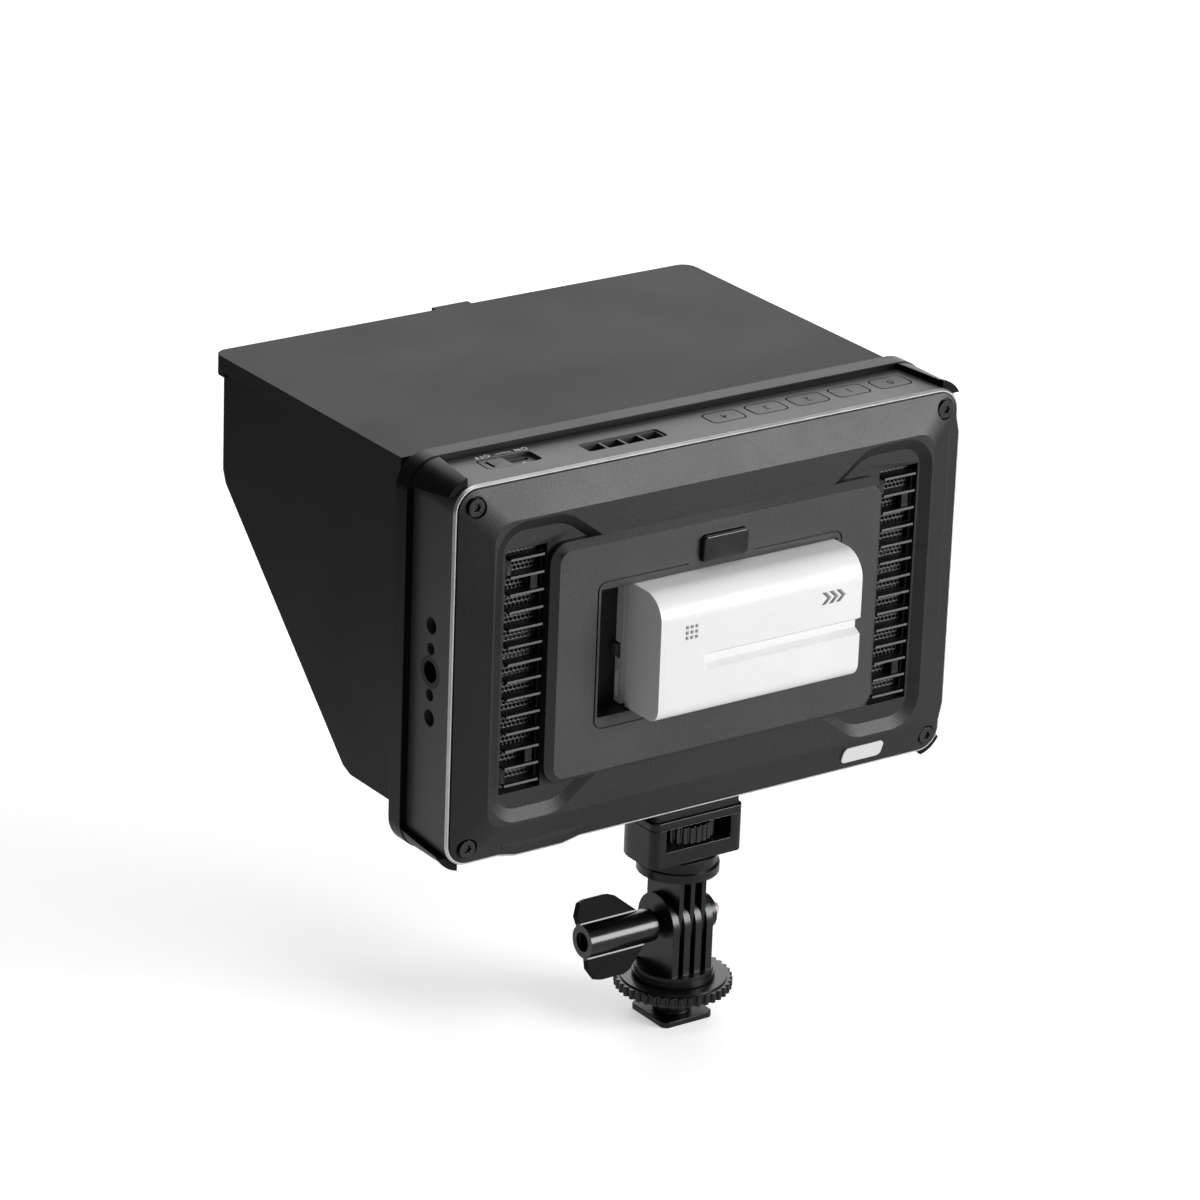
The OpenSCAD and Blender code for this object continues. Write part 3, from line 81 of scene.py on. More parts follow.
class Rider(str, Enum):
    """The moving bodies that new pieces ride on."""

    MONITOR = "monitor"
    BATTERY = "battery"
    KEY = "key_"


class Facing(Enum):
    """The side of the body that a flat mark lies on."""

    BACK = "back"
    ROOF = "roof"


@dataclass(frozen=True)
class Place:
    """Where the body stands in the frame.

    Args:
        setback: distance from the rear rim forward to the column, in millimetres.
        centre_height: height of the body's middle above the foot, in millimetres.
    """

    setback: float = 9.0
    centre_height: float = 127.5

    def body(self, points: np.ndarray) -> np.ndarray:
        """Moves points on the body into the frame.

        Args:
            points: an array of (..., 3) places in millimetres on the body.

        Returns:
            The same places in metres in the frame.
        """
        return (points + np.array([0.0, -self.setback, self.centre_height])) * MM


PLACE = Place()


# ---- surfaces


def linked(name: str, data: bpy.types.ID) -> bpy.types.Object:
    """Makes an object and puts it in the scene, at the origin.

    Args:
        name: the object's name.
        data: its mesh, lettering, light or camera.

    Returns:
        The new object.
    """
    thing = bpy.data.objects.new(name, data)
    bpy.context.scene.collection.objects.link(thing)
    return thing


def new_piece(name: str, verts: np.ndarray, faces: list[tuple[int, ...]]) -> bpy.types.Object:
    """Makes an object from points and faces, with its normals turned outwards.

    Args:
        name: the piece's name.
        verts: (n, 3) places in metres.
        faces: tuples of point numbers.

    Returns:
        The new object, at the origin.
    """
    mesh = bpy.data.meshes.new(name)
    mesh.from_pydata(verts.tolist(), [], faces)
    sheet = bmesh.new()
    sheet.from_mesh(mesh)
    bmesh.ops.remove_doubles(sheet, verts=sheet.verts, dist=WELD)
    bmesh.ops.recalc_face_normals(sheet, faces=sheet.faces)
    sheet.to_mesh(mesh)
    sheet.free()
    mesh.polygons.foreach_set("use_smooth", np.ones(len(mesh.polygons), dtype=bool))
    return linked(name, mesh)


def loft_faces(rings: int, around: int, start: int = 0) -> list[tuple[int, ...]]:
    """Faces of a closed body made of rings of points: quads between neighbours, and its two ends.

    Args:
        rings: number of rings.
        around: points in a ring.
        start: number of the first point.

    Returns:
        The faces.
    """
    r, c = np.meshgrid(np.arange(rings - 1), np.arange(around), indexing="ij")
    nxt = (c + 1) % around
    quads = np.stack([r * around + c, r * around + nxt, (r + 1) * around + nxt, (r + 1) * around + c], axis=-1)
    faces = [tuple(quad) for quad in (quads.reshape(-1, 4) + start).tolist()]
    for first in (start, start + (rings - 1) * around):
        faces.append(tuple(range(first, first + around)))
    return faces


def flat_prisms(outlines: list[np.ndarray], face: float, thick: float, side: Facing) -> tuple[np.ndarray, list]:
    """Thin raised marks: each outline is carried from the face out by a thickness.

    On the back an outline's (u, v) is (x, z) and it rises along -Y. On the roof it is (x, y) and rises
    along +Z.

    Args:
        outlines: closed outlines of (n, 2) points on the body, in millimetres.
        face: where the carrying face lies, in millimetres.
        thick: how far the mark stands out.
        side: which side of the body carries it.

    Returns:
        Points in metres in the frame, and faces.
    """
    verts: list[np.ndarray] = []
    faces: list[tuple[int, ...]] = []
    start = 0
    for line in outlines:
        n = len(line)
        low, high = face, face - thick if side is Facing.BACK else face + thick
        layers = []
        for level in (low, high):
            flat = np.full(n, level)
            columns = [line[:, 0], flat, line[:, 1]] if side is Facing.BACK else [line[:, 0], line[:, 1], flat]
            layers.append(np.stack(columns, axis=1))
        verts.append(PLACE.body(np.concatenate(layers)))
        faces += loft_faces(2, n, start)
        start += 2 * n
    return np.concatenate(verts), faces


@dataclass(frozen=True)
class Lettering:
    """Raised letters on the roof, read from the back of the monitor.

    Args:
        half_thick: half of the letters' thickness, in millimetres.
        swell: how much a stroke grows on each side, as a share of the letter height.
        gap: spacing of the letters, where 1 is the font's own.
        bend_steps: points along each bend.
    """

    half_thick: float = 0.02
    swell: float = 0.008
    gap: float = 1.2
    bend_steps: int = 3

    def write(self, name: str, words: str, size: float, spot: Spot) -> bpy.types.Object:
        """Writes the words as a mesh, with its place in the mesh itself.

        Args:
            name: the piece's name.
            words: what it says.
            size: letter height in millimetres.
            spot: the middle of the words on the body's roof, in millimetres.

        Returns:
            The new object, at the origin.
        """
        curve = bpy.data.curves.new(name, "FONT")
        curve.body, curve.size = words, size * MM
        curve.align_x, curve.align_y = "CENTER", "CENTER"
        curve.extrude = self.half_thick * MM
        curve.offset = self.swell * size * MM
        curve.space_character = self.gap
        curve.resolution_u = self.bend_steps
        writing = linked(name + "_curve", curve)
        bpy.context.view_layer.update()
        graph = bpy.context.evaluated_depsgraph_get()
        mesh = bpy.data.meshes.new_from_object(writing.evaluated_get(graph))
        bpy.data.objects.remove(writing)
        middle = PLACE.body(np.array(spot) + [0.0, 0.0, self.half_thick])
        mesh.transform(Matrix.Translation(middle.tolist()) @ Matrix.Rotation(math.pi, 4, "Z"))
        return linked(name, mesh)


# ---- node sheets


class NodeSheet:
    """A node tree with short calls to add nodes and join them."""

    def __init__(self, tree: bpy.types.NodeTree) -> None:
        """Keeps the tree.

        Args:
            tree: a material's or a group's node tree.
        """
        self.tree = tree

    def put(self, value: object, socket: Socket) -> None:
        """Joins a socket to an input, or sets the input to a plain value.

        Args:
            value: the socket or the plain value.
            socket: the input.
        """
        if isinstance(value, Socket):
            self.tree.links.new(value, socket)
        else:
            socket.default_value = value

    def add(self, kind: str, **values: object) -> bpy.types.Node:
        """Adds a node.

        Args:
            kind: Blender's node type.
            values: properties by name, or input values or sockets where the node has no such property.

        Returns:
            The node.
        """
        node = self.tree.nodes.new(kind)
        for key, value in values.items():
            if hasattr(node, key):
                setattr(node, key, value)
            else:
                self.put(value, node.inputs[key.replace("_", " ")])
        return node

    def maths(self, operation: str, a: object, b: object = 0.0, clamp: bool = False) -> Socket:
        """Adds a Math node.

        Args:
            operation: its operation.
            a: first number or socket.
            b: second number or socket.
            clamp: whether the answer stays between 0 and 1.

        Returns:
            Its output socket.
        """
        node = self.add("ShaderNodeMath", operation=operation, use_clamp=clamp)
        for socket, value in zip(node.inputs, (a, b)):
            self.put(value, socket)
        return node.outputs[0]

    def line(self, value: object, slope: object, start: object, clamp: bool = False) -> Socket:
        """A straight line: value times slope, plus start.

        Args:
            value: number or socket, as are the slope and the start.
            slope: what it is multiplied by.
            start: what is added.
            clamp: whether the answer stays between 0 and 1.

        Returns:
            Its output socket.
        """
        return self.maths("ADD", self.maths("MULTIPLY", value, slope), start, clamp)

    def blend(self, share: Socket, low: object, high: Colour) -> Socket:
        """Mixes two colours by a mask.

        Args:
            share: the mask.
            low: colour, or colour socket, where the mask is 0.
            high: colour where it is 1.

        Returns:
            The colour socket.
        """
        node = self.add("ShaderNodeMix", data_type="RGBA")
        self.put(share, node.inputs[0])
        self.put(low if isinstance(low, Socket) else (*low, 1.0), node.inputs[6])
        self.put((*high, 1.0), node.inputs[7])
        return node.outputs[2]


class Effect(str, Enum):
    """Surface effects that several materials use, each one shader node group."""

    GRAIN = "moulded_grain"
    HANDLING = "handling_smudges"
    SPECKS = "fine_specks"
    DRAWN = "drawn_lines"


class EffectSheet(NodeSheet):
    """The node group of an effect, with a vector input named Place, its numbers and one output."""

    def __init__(self, effect: Effect) -> None:
        """Makes the group and draws the effect in it.

        Args:
            effect: the effect, whose value names the group.
        """
        super().__init__(bpy.data.node_groups.new(effect.value, "ShaderNodeTree"))
        numbers, output, draw = {
            Effect.GRAIN: ({"Pitch": 0.0004}, "Height", self.grain),
            Effect.HANDLING: ({"Size": 0.03}, "Mask", self.handling),
            Effect.SPECKS: ({"Pitch": 0.0015, "Share": 0.12}, "Mask", self.specks),
            Effect.DRAWN: ({"Pitch": 0.0002}, "Height", self.drawn),
        }[effect]
        sockets = self.tree.interface
        sockets.new_socket("Place", in_out="INPUT", socket_type="NodeSocketVector")
        for name, value in numbers.items():
            sockets.new_socket(name, in_out="INPUT", socket_type="NodeSocketFloat").default_value = value
        sockets.new_socket(output, in_out="OUTPUT", socket_type="NodeSocketFloat")
        self.given = self.add("NodeGroupInput").outputs
        self.place = self.given["Place"]
        first_number = 1
        self.scale = self.maths("DIVIDE", 1.0, self.given[first_number])
        self.put(draw(), self.add("NodeGroupOutput").inputs[0])

    def grain(self) -> Socket:
        """Spark-eroded grain: fine noise plus the rounded cells of a finer pattern.

        Returns:
            The height.
        """
        spot = {"Vector": self.place, "Scale": self.scale}
        noise = self.add("ShaderNodeTexNoise", **spot, Detail=3.0, Roughness=0.6)
        cells = self.add("ShaderNodeTexVoronoi", feature="SMOOTH_F1", **spot, Smoothness=0.5)
        cell_share = 0.6
        return self.line(cells.outputs["Distance"], cell_share, noise.outputs[0])

    def handling(self) -> Socket:
        """Broad soft smudges, as from hands and a wiped cloth: noise above a threshold, made steeper.

        Returns:
            The mask.
        """
        noise = self.add("ShaderNodeTexNoise", Vector=self.place, Scale=self.scale, Detail=4.0, Roughness=0.55)
        threshold, slope = 0.38, 3.4
        return self.maths("MULTIPLY", self.maths("SUBTRACT", noise.outputs[0], threshold), slope, clamp=True)

    def specks(self) -> Socket:
        """Sparse small specks: round middles of the cells whose own number is below Share.

        Returns:
            The mask.
        """
        cells = self.add("ShaderNodeTexVoronoi", Vector=self.place, Scale=self.scale).outputs
        radius = 0.14
        near = self.maths("LESS_THAN", cells["Distance"], radius)
        own = self.add("ShaderNodeSeparateColor", Color=cells["Color"]).outputs[0]
        return self.maths("MULTIPLY", near, self.maths("LESS_THAN", own, self.given["Share"]))

    def drawn(self) -> Socket:
        """Fine lines along one way, as on drawn wire and turned metal: noise squeezed along X.

        Returns:
            The height.
        """
        squeezed = self.add("ShaderNodeVectorMath", operation="MULTIPLY", Vector=self.place)
        squeezed.inputs[1].default_value = (0.04, 1.0, 1.0)
        return self.add("ShaderNodeTexNoise", Vector=squeezed.outputs[0], Scale=self.scale, Detail=2.0).outputs[0]


class Paper:
    """A material being made: its sheet, its shader and the place that patterns read."""

    def __init__(self, name: str) -> None:
        """Starts the material afresh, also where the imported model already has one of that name.

        Args:
            name: its name.
        """
        self.material = bpy.data.materials.get(name) or bpy.data.materials.new(name)
        self.material.use_nodes = True
        tree = self.material.node_tree
        tree.nodes.clear()
        self.sheet = NodeSheet(tree)
        self.shader = self.sheet.add("ShaderNodeBsdfPrincipled")
        output = self.sheet.add("ShaderNodeOutputMaterial")
        tree.links.new(self.shader.outputs[0], output.inputs["Surface"])
        self.place = self.sheet.add("ShaderNodeTexCoord").outputs["Object"]

    def effect(self, effect: Effect, **values: float) -> Socket:
        """Places one of the shared groups.

        Args:
            effect: which one.
            values: its numbers by name.

        Returns:
            Its output.
        """
        tree = bpy.data.node_groups.get(effect.value) or EffectSheet(effect).tree
        return self.sheet.add("ShaderNodeGroup", node_tree=tree, Place=self.place, **values).outputs[0]

    def feed(self, socket: str, source: Socket) -> None:
        """Joins a source to one of the shader's sockets."""
        self.sheet.tree.links.new(source, self.shader.inputs[socket])

    def set(self, **values: float) -> None:
        """Sets uniform values on the shader's own sockets, named with underscores for spaces."""
        for name, value in values.items():
            self.shader.inputs[name.replace("_", " ")].default_value = value

    def rough(self, base: float, spread: float, mask: Socket) -> None:
        """Roughness that goes from base to base plus spread as the mask goes from 0 to 1."""
        self.feed("Roughness", self.sheet.line(mask, spread, base))

    def relief(self, height: Socket, depth: float) -> None:
        """Bumps the surface by a height, whose full step is depth millimetres."""
        bump = self.sheet.add("ShaderNodeBump", Height=height, Distance=depth * MM, Strength=1.0)
        self.feed("Normal", bump.outputs[0])


# ---- finishes


@dataclass(frozen=True)
class Finish:
    """What a surface is made of.

    Args:
        name: the material's name.
        tone: base colour.
        rough: roughness of the clean surface.
    """

    name: str
    tone: Colour
    rough: float

    def make(self) -> bpy.types.Material:
        """Builds the material.

        Returns:
            The material.
        """
        paper = Paper(self.name)
        self.paint(paper)
        return paper.material

    def paint(self, paper: Paper) -> None:
        """Draws the finish on the material's sheet. Every kind of finish has its own way.

        Args:
            paper: the material being made.
        """
        raise NotImplementedError

    def shade(self, factor: float, lift: float = 0.0) -> Colour:
        """The tone times a factor plus a lift, no brighter than white."""
        return tuple(min(1.0, c * factor + lift) for c in self.tone)


@dataclass(frozen=True)
class PaintedShade:
    """A zone of a surface behind a level, darkened as painted shade: its colour stands for the shade that falls
    there.

    Args:
        level: the zone begins this far along Y on the body, in millimetres.
        half_width: its half width about the body's middle, in millimetres.
        half_height: its half height.
        tone: the colour of the painted shade.
    """

    level: float
    half_width: float = 200.0
    half_height: float = 200.0
    tone: Colour = (0.003, 0.003, 0.003)

    def mask(self, paper: Paper) -> Socket:
        """The zone as a mask of ones and zeros.

        Args:
            paper: the material that it belongs to.

        Returns:
            The mask.
        """
        sheet = paper.sheet
        spot = sheet.add("ShaderNodeSeparateXYZ", Vector=paper.place).outputs
        edge = PLACE.body(np.array([0.0, self.level, 0.0]))
        behind = sheet.maths("GREATER_THAN", spot["Y"], edge[1])
        wide = sheet.maths("LESS_THAN", sheet.maths("ABSOLUTE", spot["X"]), self.half_width * MM)
        high = sheet.maths("ABSOLUTE", sheet.maths("SUBTRACT", spot["Z"], edge[2]))
        high = sheet.maths("LESS_THAN", high, self.half_height * MM)
        return sheet.maths("MULTIPLY", sheet.maths("MULTIPLY", behind, wide), high)


@dataclass(frozen=True)
class Grained(Finish):
    """Dark moulded plastic or blasted and anodised metal, with a fine grain.

    Args:
        pitch: size of the grain, in millimetres.
        depth: depth of the grain, in millimetres.
        specular: specular level.
        smudge: how much rougher a handled place is.
        sparkle: how much lighter the grain's crests are.
        painted_shade: a zone of painted shade, if it has one.
    """

    pitch: float = 0.35
    depth: float = 0.02
    specular: float = 0.5
    smudge: float = 0.08
    sparkle: float = 0.35
    painted_shade: PaintedShade | None = None

    def paint(self, paper: Paper) -> None:
        """Grain in height and tone, smudges in roughness and a little in tone, and painted shade over the zone
        where it has one.

        Args:
            paper: the material being made.
        """
        sheet = paper.sheet
        grain = paper.effect(Effect.GRAIN, Pitch=self.pitch * MM)
        smudges = paper.effect(Effect.HANDLING, Size=0.035)
        crest_from, crest_slope, crest_share, smudge_share = 0.45, 1.6, 0.8, 0.2
        crest = sheet.maths("MULTIPLY", sheet.maths("SUBTRACT", grain, crest_from), crest_slope, clamp=True)
        mixed = sheet.line(crest, crest_share, sheet.maths("MULTIPLY", smudges, smudge_share))
        colour = sheet.blend(mixed, self.shade(1 - 0.5 * self.sparkle), self.shade(1 + self.sparkle))
        # Painted shade: inside the zone the colour is darkened to stand for shade.
        if self.painted_shade:
            colour = sheet.blend(self.painted_shade.mask(paper), colour, self.painted_shade.tone)
        paper.feed("Base Color", colour)
        paper.rough(self.rough, self.smudge, smudges)
        paper.set(Specular_IOR_Level=self.specular)
        paper.relief(grain, self.depth)


@dataclass(frozen=True)
class Gloss(Finish):
    """Polished dark plastic with faint wipe marks.

    Args:
        coat: clear coat weight.
    """

    rough: float = 0.12
    coat: float = 0.4

    def paint(self, paper: Paper) -> None:
        """Specks in tone, smudges in roughness and a slow unevenness in height.

        Args:
            paper: the material being made.
        """
        specks = paper.effect(Effect.SPECKS, Pitch=0.0012, Share=0.06)
        paper.feed("Base Color", paper.sheet.blend(specks, self.tone, self.shade(3, lift=0.02)))
        paper.rough(self.rough, 0.12, paper.effect(Effect.HANDLING, Size=0.012))
        paper.set(Coat_Weight=self.coat, Coat_Roughness=0.08)
        paper.relief(paper.effect(Effect.GRAIN, Pitch=0.0015), depth=0.004)


@dataclass(frozen=True)
class ClampKnob(Finish):
    """Black plastic of the clamp knob: a polished rod with blades left dull.

    Args:
        axis_height: height of the rod's axis above the foot, in millimetres.
        rod_radius: the polish ends this far from the axis, in millimetres.
        dulling: how much rougher the blades are.
        coat: clear coat weight on the rod.
    """

    axis_height: float
    rod_radius: float
    dulling: float = 0.2
    coat: float = 0.9

    def paint(self, paper: Paper) -> None:
        """The distance from the axis tells blade from rod, in roughness and in the clear coat.

        Args:
            paper: the material being made.
        """
        sheet = paper.sheet
        smudges = paper.effect(Effect.HANDLING, Size=0.012)
        paper.feed("Base Color", sheet.blend(smudges, self.tone, self.shade(1.6)))
        spot = sheet.add("ShaderNodeSeparateXYZ", Vector=paper.place).outputs
        rise = sheet.maths("SUBTRACT", spot["Z"], self.axis_height * MM)
        squares = sheet.line(spot["Y"], spot["Y"], sheet.maths("MULTIPLY", rise, rise))
        blade = sheet.maths("GREATER_THAN", squares, (self.rod_radius * MM) ** 2)
        paper.rough(self.rough, self.dulling, blade)
        paper.feed("Coat Weight", sheet.maths("SUBTRACT", self.coat, sheet.maths("MULTIPLY", blade, self.coat)))
        paper.set(Specular_IOR_Level=0.05, Coat_Roughness=0.2)
        paper.relief(paper.effect(Effect.GRAIN, Pitch=0.0004), depth=0.006)


@dataclass(frozen=True)
class Metal(Finish):
    """Bare or darkened metal with drawn lines.

    Args:
        pitch: spacing of the lines, in millimetres.
        depth: depth of the lines, in millimetres.
    """

    pitch: float = 0.2
    depth: float = 0.006

    def paint(self, paper: Paper) -> None:
        """Lines in height and roughness, smudges in tone.

        Args:
            paper: the material being made.
        """
        lines = paper.effect(Effect.DRAWN, Pitch=self.pitch * MM)
        smudges = paper.effect(Effect.HANDLING, Size=0.01)
        paper.feed("Base Color", paper.sheet.blend(smudges, self.tone, self.shade(0.82)))
        paper.rough(self.rough, 0.12, lines)
        paper.set(Metallic=1.0)
        paper.relief(lines, self.depth)


@dataclass(frozen=True)
class BatteryCase(Finish):
    """White satin plastic of the battery."""

    rough: float = 0.38

    def paint(self, paper: Paper) -> None:
        """A very fine grain, faint greying where hands hold it and some light under the surface.

        Args:
            paper: the material being made.
        """
        sheet = paper.sheet
        smudges = paper.effect(Effect.HANDLING, Size=0.02)
        specks = paper.effect(Effect.SPECKS, Pitch=0.0022, Share=0.05)
        smudge_share, speck_share = 0.35, 0.5
        mask = sheet.line(smudges, smudge_share, sheet.maths("MULTIPLY", specks, speck_share), clamp=True)
        paper.feed("Base Color", sheet.blend(mask, self.tone, self.shade(0.88)))
        paper.rough(self.rough, 0.08, smudges)
        paper.set(Subsurface_Weight=0.08, Subsurface_Scale=0.002)
        paper.relief(paper.effect(Effect.GRAIN, Pitch=0.0003), depth=0.006)


@dataclass(frozen=True)
class Glass(Finish):
    """The screen's front glass."""

    tone: Colour = (0.55, 0.57, 0.6)
    rough: float = 0.02

    def paint(self, paper: Paper) -> None:
        """Clear glass with faint wipe marks.

        Args:
            paper: the material being made.
        """
        smudges = paper.effect(Effect.HANDLING, Size=0.04)
        paper.feed("Base Color", paper.sheet.blend(smudges, self.tone, self.shade(0.97)))
        paper.rough(self.rough, 0.05, smudges)
        paper.set(Transmission_Weight=0.9, IOR=1.5, Coat_Weight=0.3, Coat_Roughness=0.03)


@dataclass(frozen=True)
class Rubber(Finish):
    """Black rubber with a bloom."""

    rough: float = 0.72

    def paint(self, paper: Paper) -> None:
        """Bloom in tone and roughness, grain in height.

        Args:
            paper: the material being made.
        """
        bloom = paper.effect(Effect.HANDLING, Size=0.006)
        paper.feed("Base Color", paper.sheet.blend(bloom, self.tone, self.shade(1.8)))
        paper.rough(self.rough, 0.15, bloom)
        paper.set(Specular_IOR_Level=0.35)
        paper.relief(paper.effect(Effect.GRAIN, Pitch=0.0002), depth=0.012)


@dataclass(frozen=True)
class CircuitBoard(Finish):
    """Green board with lighter copper tracks under the mask.

    Args:
        track: colour over copper.
        track_from: a track begins this far from a cell's middle.
    """

    tone: Colour = (0.012, 0.09, 0.035)
    rough: float = 0.28
    track: Colour = (0.03, 0.19, 0.07)
    track_from: float = 0.42

    def paint(self, paper: Paper) -> None:
        """Square cells of a coarse pattern stand for the tracks.

        Args:
            paper: the material being made.
        """
        cells = paper.sheet.add("ShaderNodeTexVoronoi", distance="CHEBYCHEV", Vector=paper.place, Scale=420.0)
        tracks = paper.sheet.maths("GREATER_THAN", cells.outputs["Distance"], self.track_from)
        paper.feed("Base Color", paper.sheet.blend(tracks, self.tone, self.track))
        paper.rough(self.rough, 0.1, tracks)
        paper.relief(tracks, depth=0.02)


@dataclass(frozen=True)
class Palette:
    """Every finish of the monitor, named for what it covers."""

    body: Finish = Grained("black_aluminium", (0.045, 0.045, 0.046), 0.42, 0.3, 0.012, 0.5, 0.05)
    cover: Finish = Grained("cover_black", (0.005, 0.005, 0.0052), 0.44, 0.36, 0.05, 0.48, 0.05, 1.6)
    # The plate's battery well, behind its face, is darkened as painted shade.
    plate: Finish = Grained(
        "plate_black", (0.023, 0.023, 0.0235), 0.42, 0.34, 0.03, 0.6, 0.05, 1.1, PaintedShade(-5.98, 55.8, 34.2)
    )
    hood: Finish = Grained("hood_black", (0.01, 0.01, 0.0104), 0.6, 0.25, 0.006, 0.32, 0.04, 0.2)
    guard: Finish = Grained("guard_black", (0.004, 0.004, 0.0042), 0.36, 0.25, 0.005, 0.15, 0.04, 0.2)
    wing: Finish = Grained("wing_black", (0.006, 0.006, 0.0062), 0.5, 0.18, 0.006, 0.25, 0.05, 0.2)
    # The fins' pale tone is a painted highlight on their front edges; behind the front edge, painted shade darkens
    # their tops and sides.
    fins: Finish = Grained("fin_black", (0.11, 0.11, 0.112), 0.4, 0.3, 0.01, 0.4, 0.05, 0.3, PaintedShade(-3.05))
    mesh: Finish = Metal("mesh_black", (0.08, 0.08, 0.082), 0.45)
    mount: Finish = Grained("mount_black", (0.005, 0.005, 0.0053), 0.26, 0.4, 0.006, 0.4, 0.08, 0.2)
    keys: Finish = Grained("key_black", (0.032, 0.032, 0.033), 0.42, 0.25, 0.01)
    latch: Finish = Grained("latch_grey", (0.08, 0.08, 0.082), 0.5)
    dark_inside: Finish = Grained("bezel_black", (0.008, 0.008, 0.008), 0.6)
    contacts: Finish = Grained("contact_black", (0.012, 0.012, 0.012), 0.45)
    fan: Finish = Grained("fan_black", (0.015, 0.015, 0.015), 0.45)
    button: Finish = Gloss("button_gloss", (0.011, 0.011, 0.0115))
    knob: Finish = ClampKnob("knob_gloss", (0.003, 0.003, 0.0032), 0.34, 30.8, 5.5)
    panel: Finish = Gloss("panel_dark", (0.008, 0.008, 0.01), 0.08)
    light: Finish = Gloss("light_clear", (0.55, 0.56, 0.58), 0.2)
    light_box: Finish = Gloss("light_white", (0.7, 0.7, 0.7), 0.5, 0.0)
    cell: Finish = Gloss("cell_blue", (0.03, 0.08, 0.3), 0.25)
    edge: Finish = Metal("bright_edge", (0.7, 0.7, 0.71), 0.36, 0.3)
    screws: Finish = Metal("black_steel", (0.085, 0.085, 0.087), 0.22)
    foot: Finish = Metal("foot_black", (0.035, 0.035, 0.037), 0.3)
    steel: Finish = Metal("insert_steel", (0.32, 0.32, 0.33), 0.35)
    sheet: Finish = Metal("socket_steel", (0.55, 0.55, 0.56), 0.3)
    wire: Finish = Metal("spring_steel", (0.6, 0.6, 0.61), 0.28)
    pins: Finish = Metal("pin_steel", (0.5, 0.5, 0.51), 0.3)
    bolt: Finish = Metal("bolt_steel", (0.95, 0.86, 0.82), 0.34)
    badge: Finish = Grained("badge_silver", (0.66, 0.66, 0.665), 0.4, 0.2, 0.004, 0.5, 0.05, 0.1)
    sink: Finish = Metal("sink_aluminium", (0.6, 0.61, 0.62), 0.4)
    battery: Finish = BatteryCase("battery_white", (0.79, 0.79, 0.786))
    print_grey: Finish = Grained("print_grey", (0.25, 0.25, 0.255), 0.6, 0.2, 0.003)
    print_pale: Finish = Grained("print_pale", (0.85, 0.85, 0.85), 0.6, 0.2, 0.003)
    print_dark: Finish = Grained("print_dark", (0.004, 0.004, 0.004), 0.6, 0.2, 0.003, 0.2)
    glass: Finish = Glass("screen_glass")
    board: Finish = CircuitBoard("board_green")
    pad: Finish = Rubber("pad_rubber", (0.012, 0.012, 0.012))


LOOKS = Palette()
MADE: dict[str, bpy.types.Material] = {}


def material_of(finish: Finish) -> bpy.types.Material:
    """The finish's material, made on its first use."""
    if finish.name not in MADE:
        MADE[finish.name] = finish.make()
    return MADE[finish.name]


def dress(piece: bpy.types.Object, finish: Finish, body: str) -> None:
    """Gives a new piece its finish and its body.

    Args:
        piece: the object.
        finish: its finish.
        body: the body that it rides on.
    """
    piece.data.materials.clear()
    piece.data.materials.append(material_of(finish))
    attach(piece, body)


def body_of_node(node: str) -> str:
    """Name of the body that a CAD node belongs to."""
    bodies = frame["record"]["behaviour"]["bodies"]
    return next(body for body, members in bodies.items() if node in members)


@dataclass(frozen=True)
class CadNode:
    """A CAD node that keeps its shape, or a merged copy with softened edges that stands for it.

    Args:
        node: the node's name.
        finish: its finish.
        ease: width of the softened edges, in millimetres. At 0 the node itself shows.
        keen: smallest angle that is softened, in degrees.
        holed: whether many-sided faces are cut into triangles first, for a node whose flat faces run
            round holes and would close over them.
        seam: points closer than this are one, in metres.
        flat: faces that turn less than this are one, in degrees.
    """

    node: str
    finish: Finish
    ease: float = 0.0
    keen: float = 32.0
    holed: bool = False
    seam: float = 2e-6
    flat: float = 0.4

    def build(self) -> bpy.types.Object:
        """Dresses the node or its softened copy.

        Returns:
            The object that shows.
        """
        source = frame["nodes"][self.node]
        if self.ease <= 0:
            source.data.materials.clear()
            source.data.materials.append(material_of(self.finish))
            return source
        mesh = source.data.copy()
        mesh.name = self.node + "_eased"
        work = bmesh.new()
        work.from_mesh(mesh)
        bmesh.ops.remove_doubles(work, verts=work.verts, dist=self.seam)
        bmesh.ops.dissolve_limit(work, angle_limit=math.radians(self.flat), verts=work.verts, edges=work.edges)
        if self.holed:
            bmesh.ops.triangulate(work, faces=[f for f in work.faces if len(f.verts) > 4])
        for edge in work.edges:
            edge.smooth = len(edge.link_faces) == 2 and edge.calc_face_angle(0.0) < math.radians(self.keen)
        for face in work.faces:
            face.smooth = True
        work.to_mesh(mesh)
        work.free()
        piece = linked(self.node + "_eased", mesh)
        bevel = piece.modifiers.new("eased_edges", "BEVEL")
        bevel.width = self.ease * MM
        bevel.segments = 2
        bevel.limit_method = "ANGLE"
        bevel.angle_limit = math.radians(self.keen)
        bevel.use_clamp_overlap = True
        bevel.loop_slide = not self.holed
        bevel.harden_normals = True
        bevel.miter_outer = "MITER_ARC"
        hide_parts(self.node)
        dress(piece, self.finish, body_of_node(self.node))
        return piece


# ---- sub-assemblies

Parts = tuple[CadNode, ...]


@dataclass
class Assembly:
    """A part of the monitor, as nodes that are dressed one after another."""

    parts: Parts = ()

    def build(self) -> None:
        """Dresses the nodes."""
        for part in self.parts:
            part.build()


@dataclass
class Shell(Assembly):
    """Side walls, bright edge, back cover and its screws."""

    parts: Parts = (
        CadNode("mid_frame", LOOKS.body, 0.25, holed=True),
        CadNode("trim_ring", LOOKS.edge),
        CadNode("rear_cover", LOOKS.cover, 0.35, 12.0),
        CadNode("cover_screws", LOOKS.screws, 0.05),
        CadNode("badge", LOOKS.badge, 0.12),
        CadNode("side_insert", LOOKS.foot),
        CadNode("side_block", LOOKS.dark_inside),
        CadNode("base_insert", LOOKS.steel),
    )


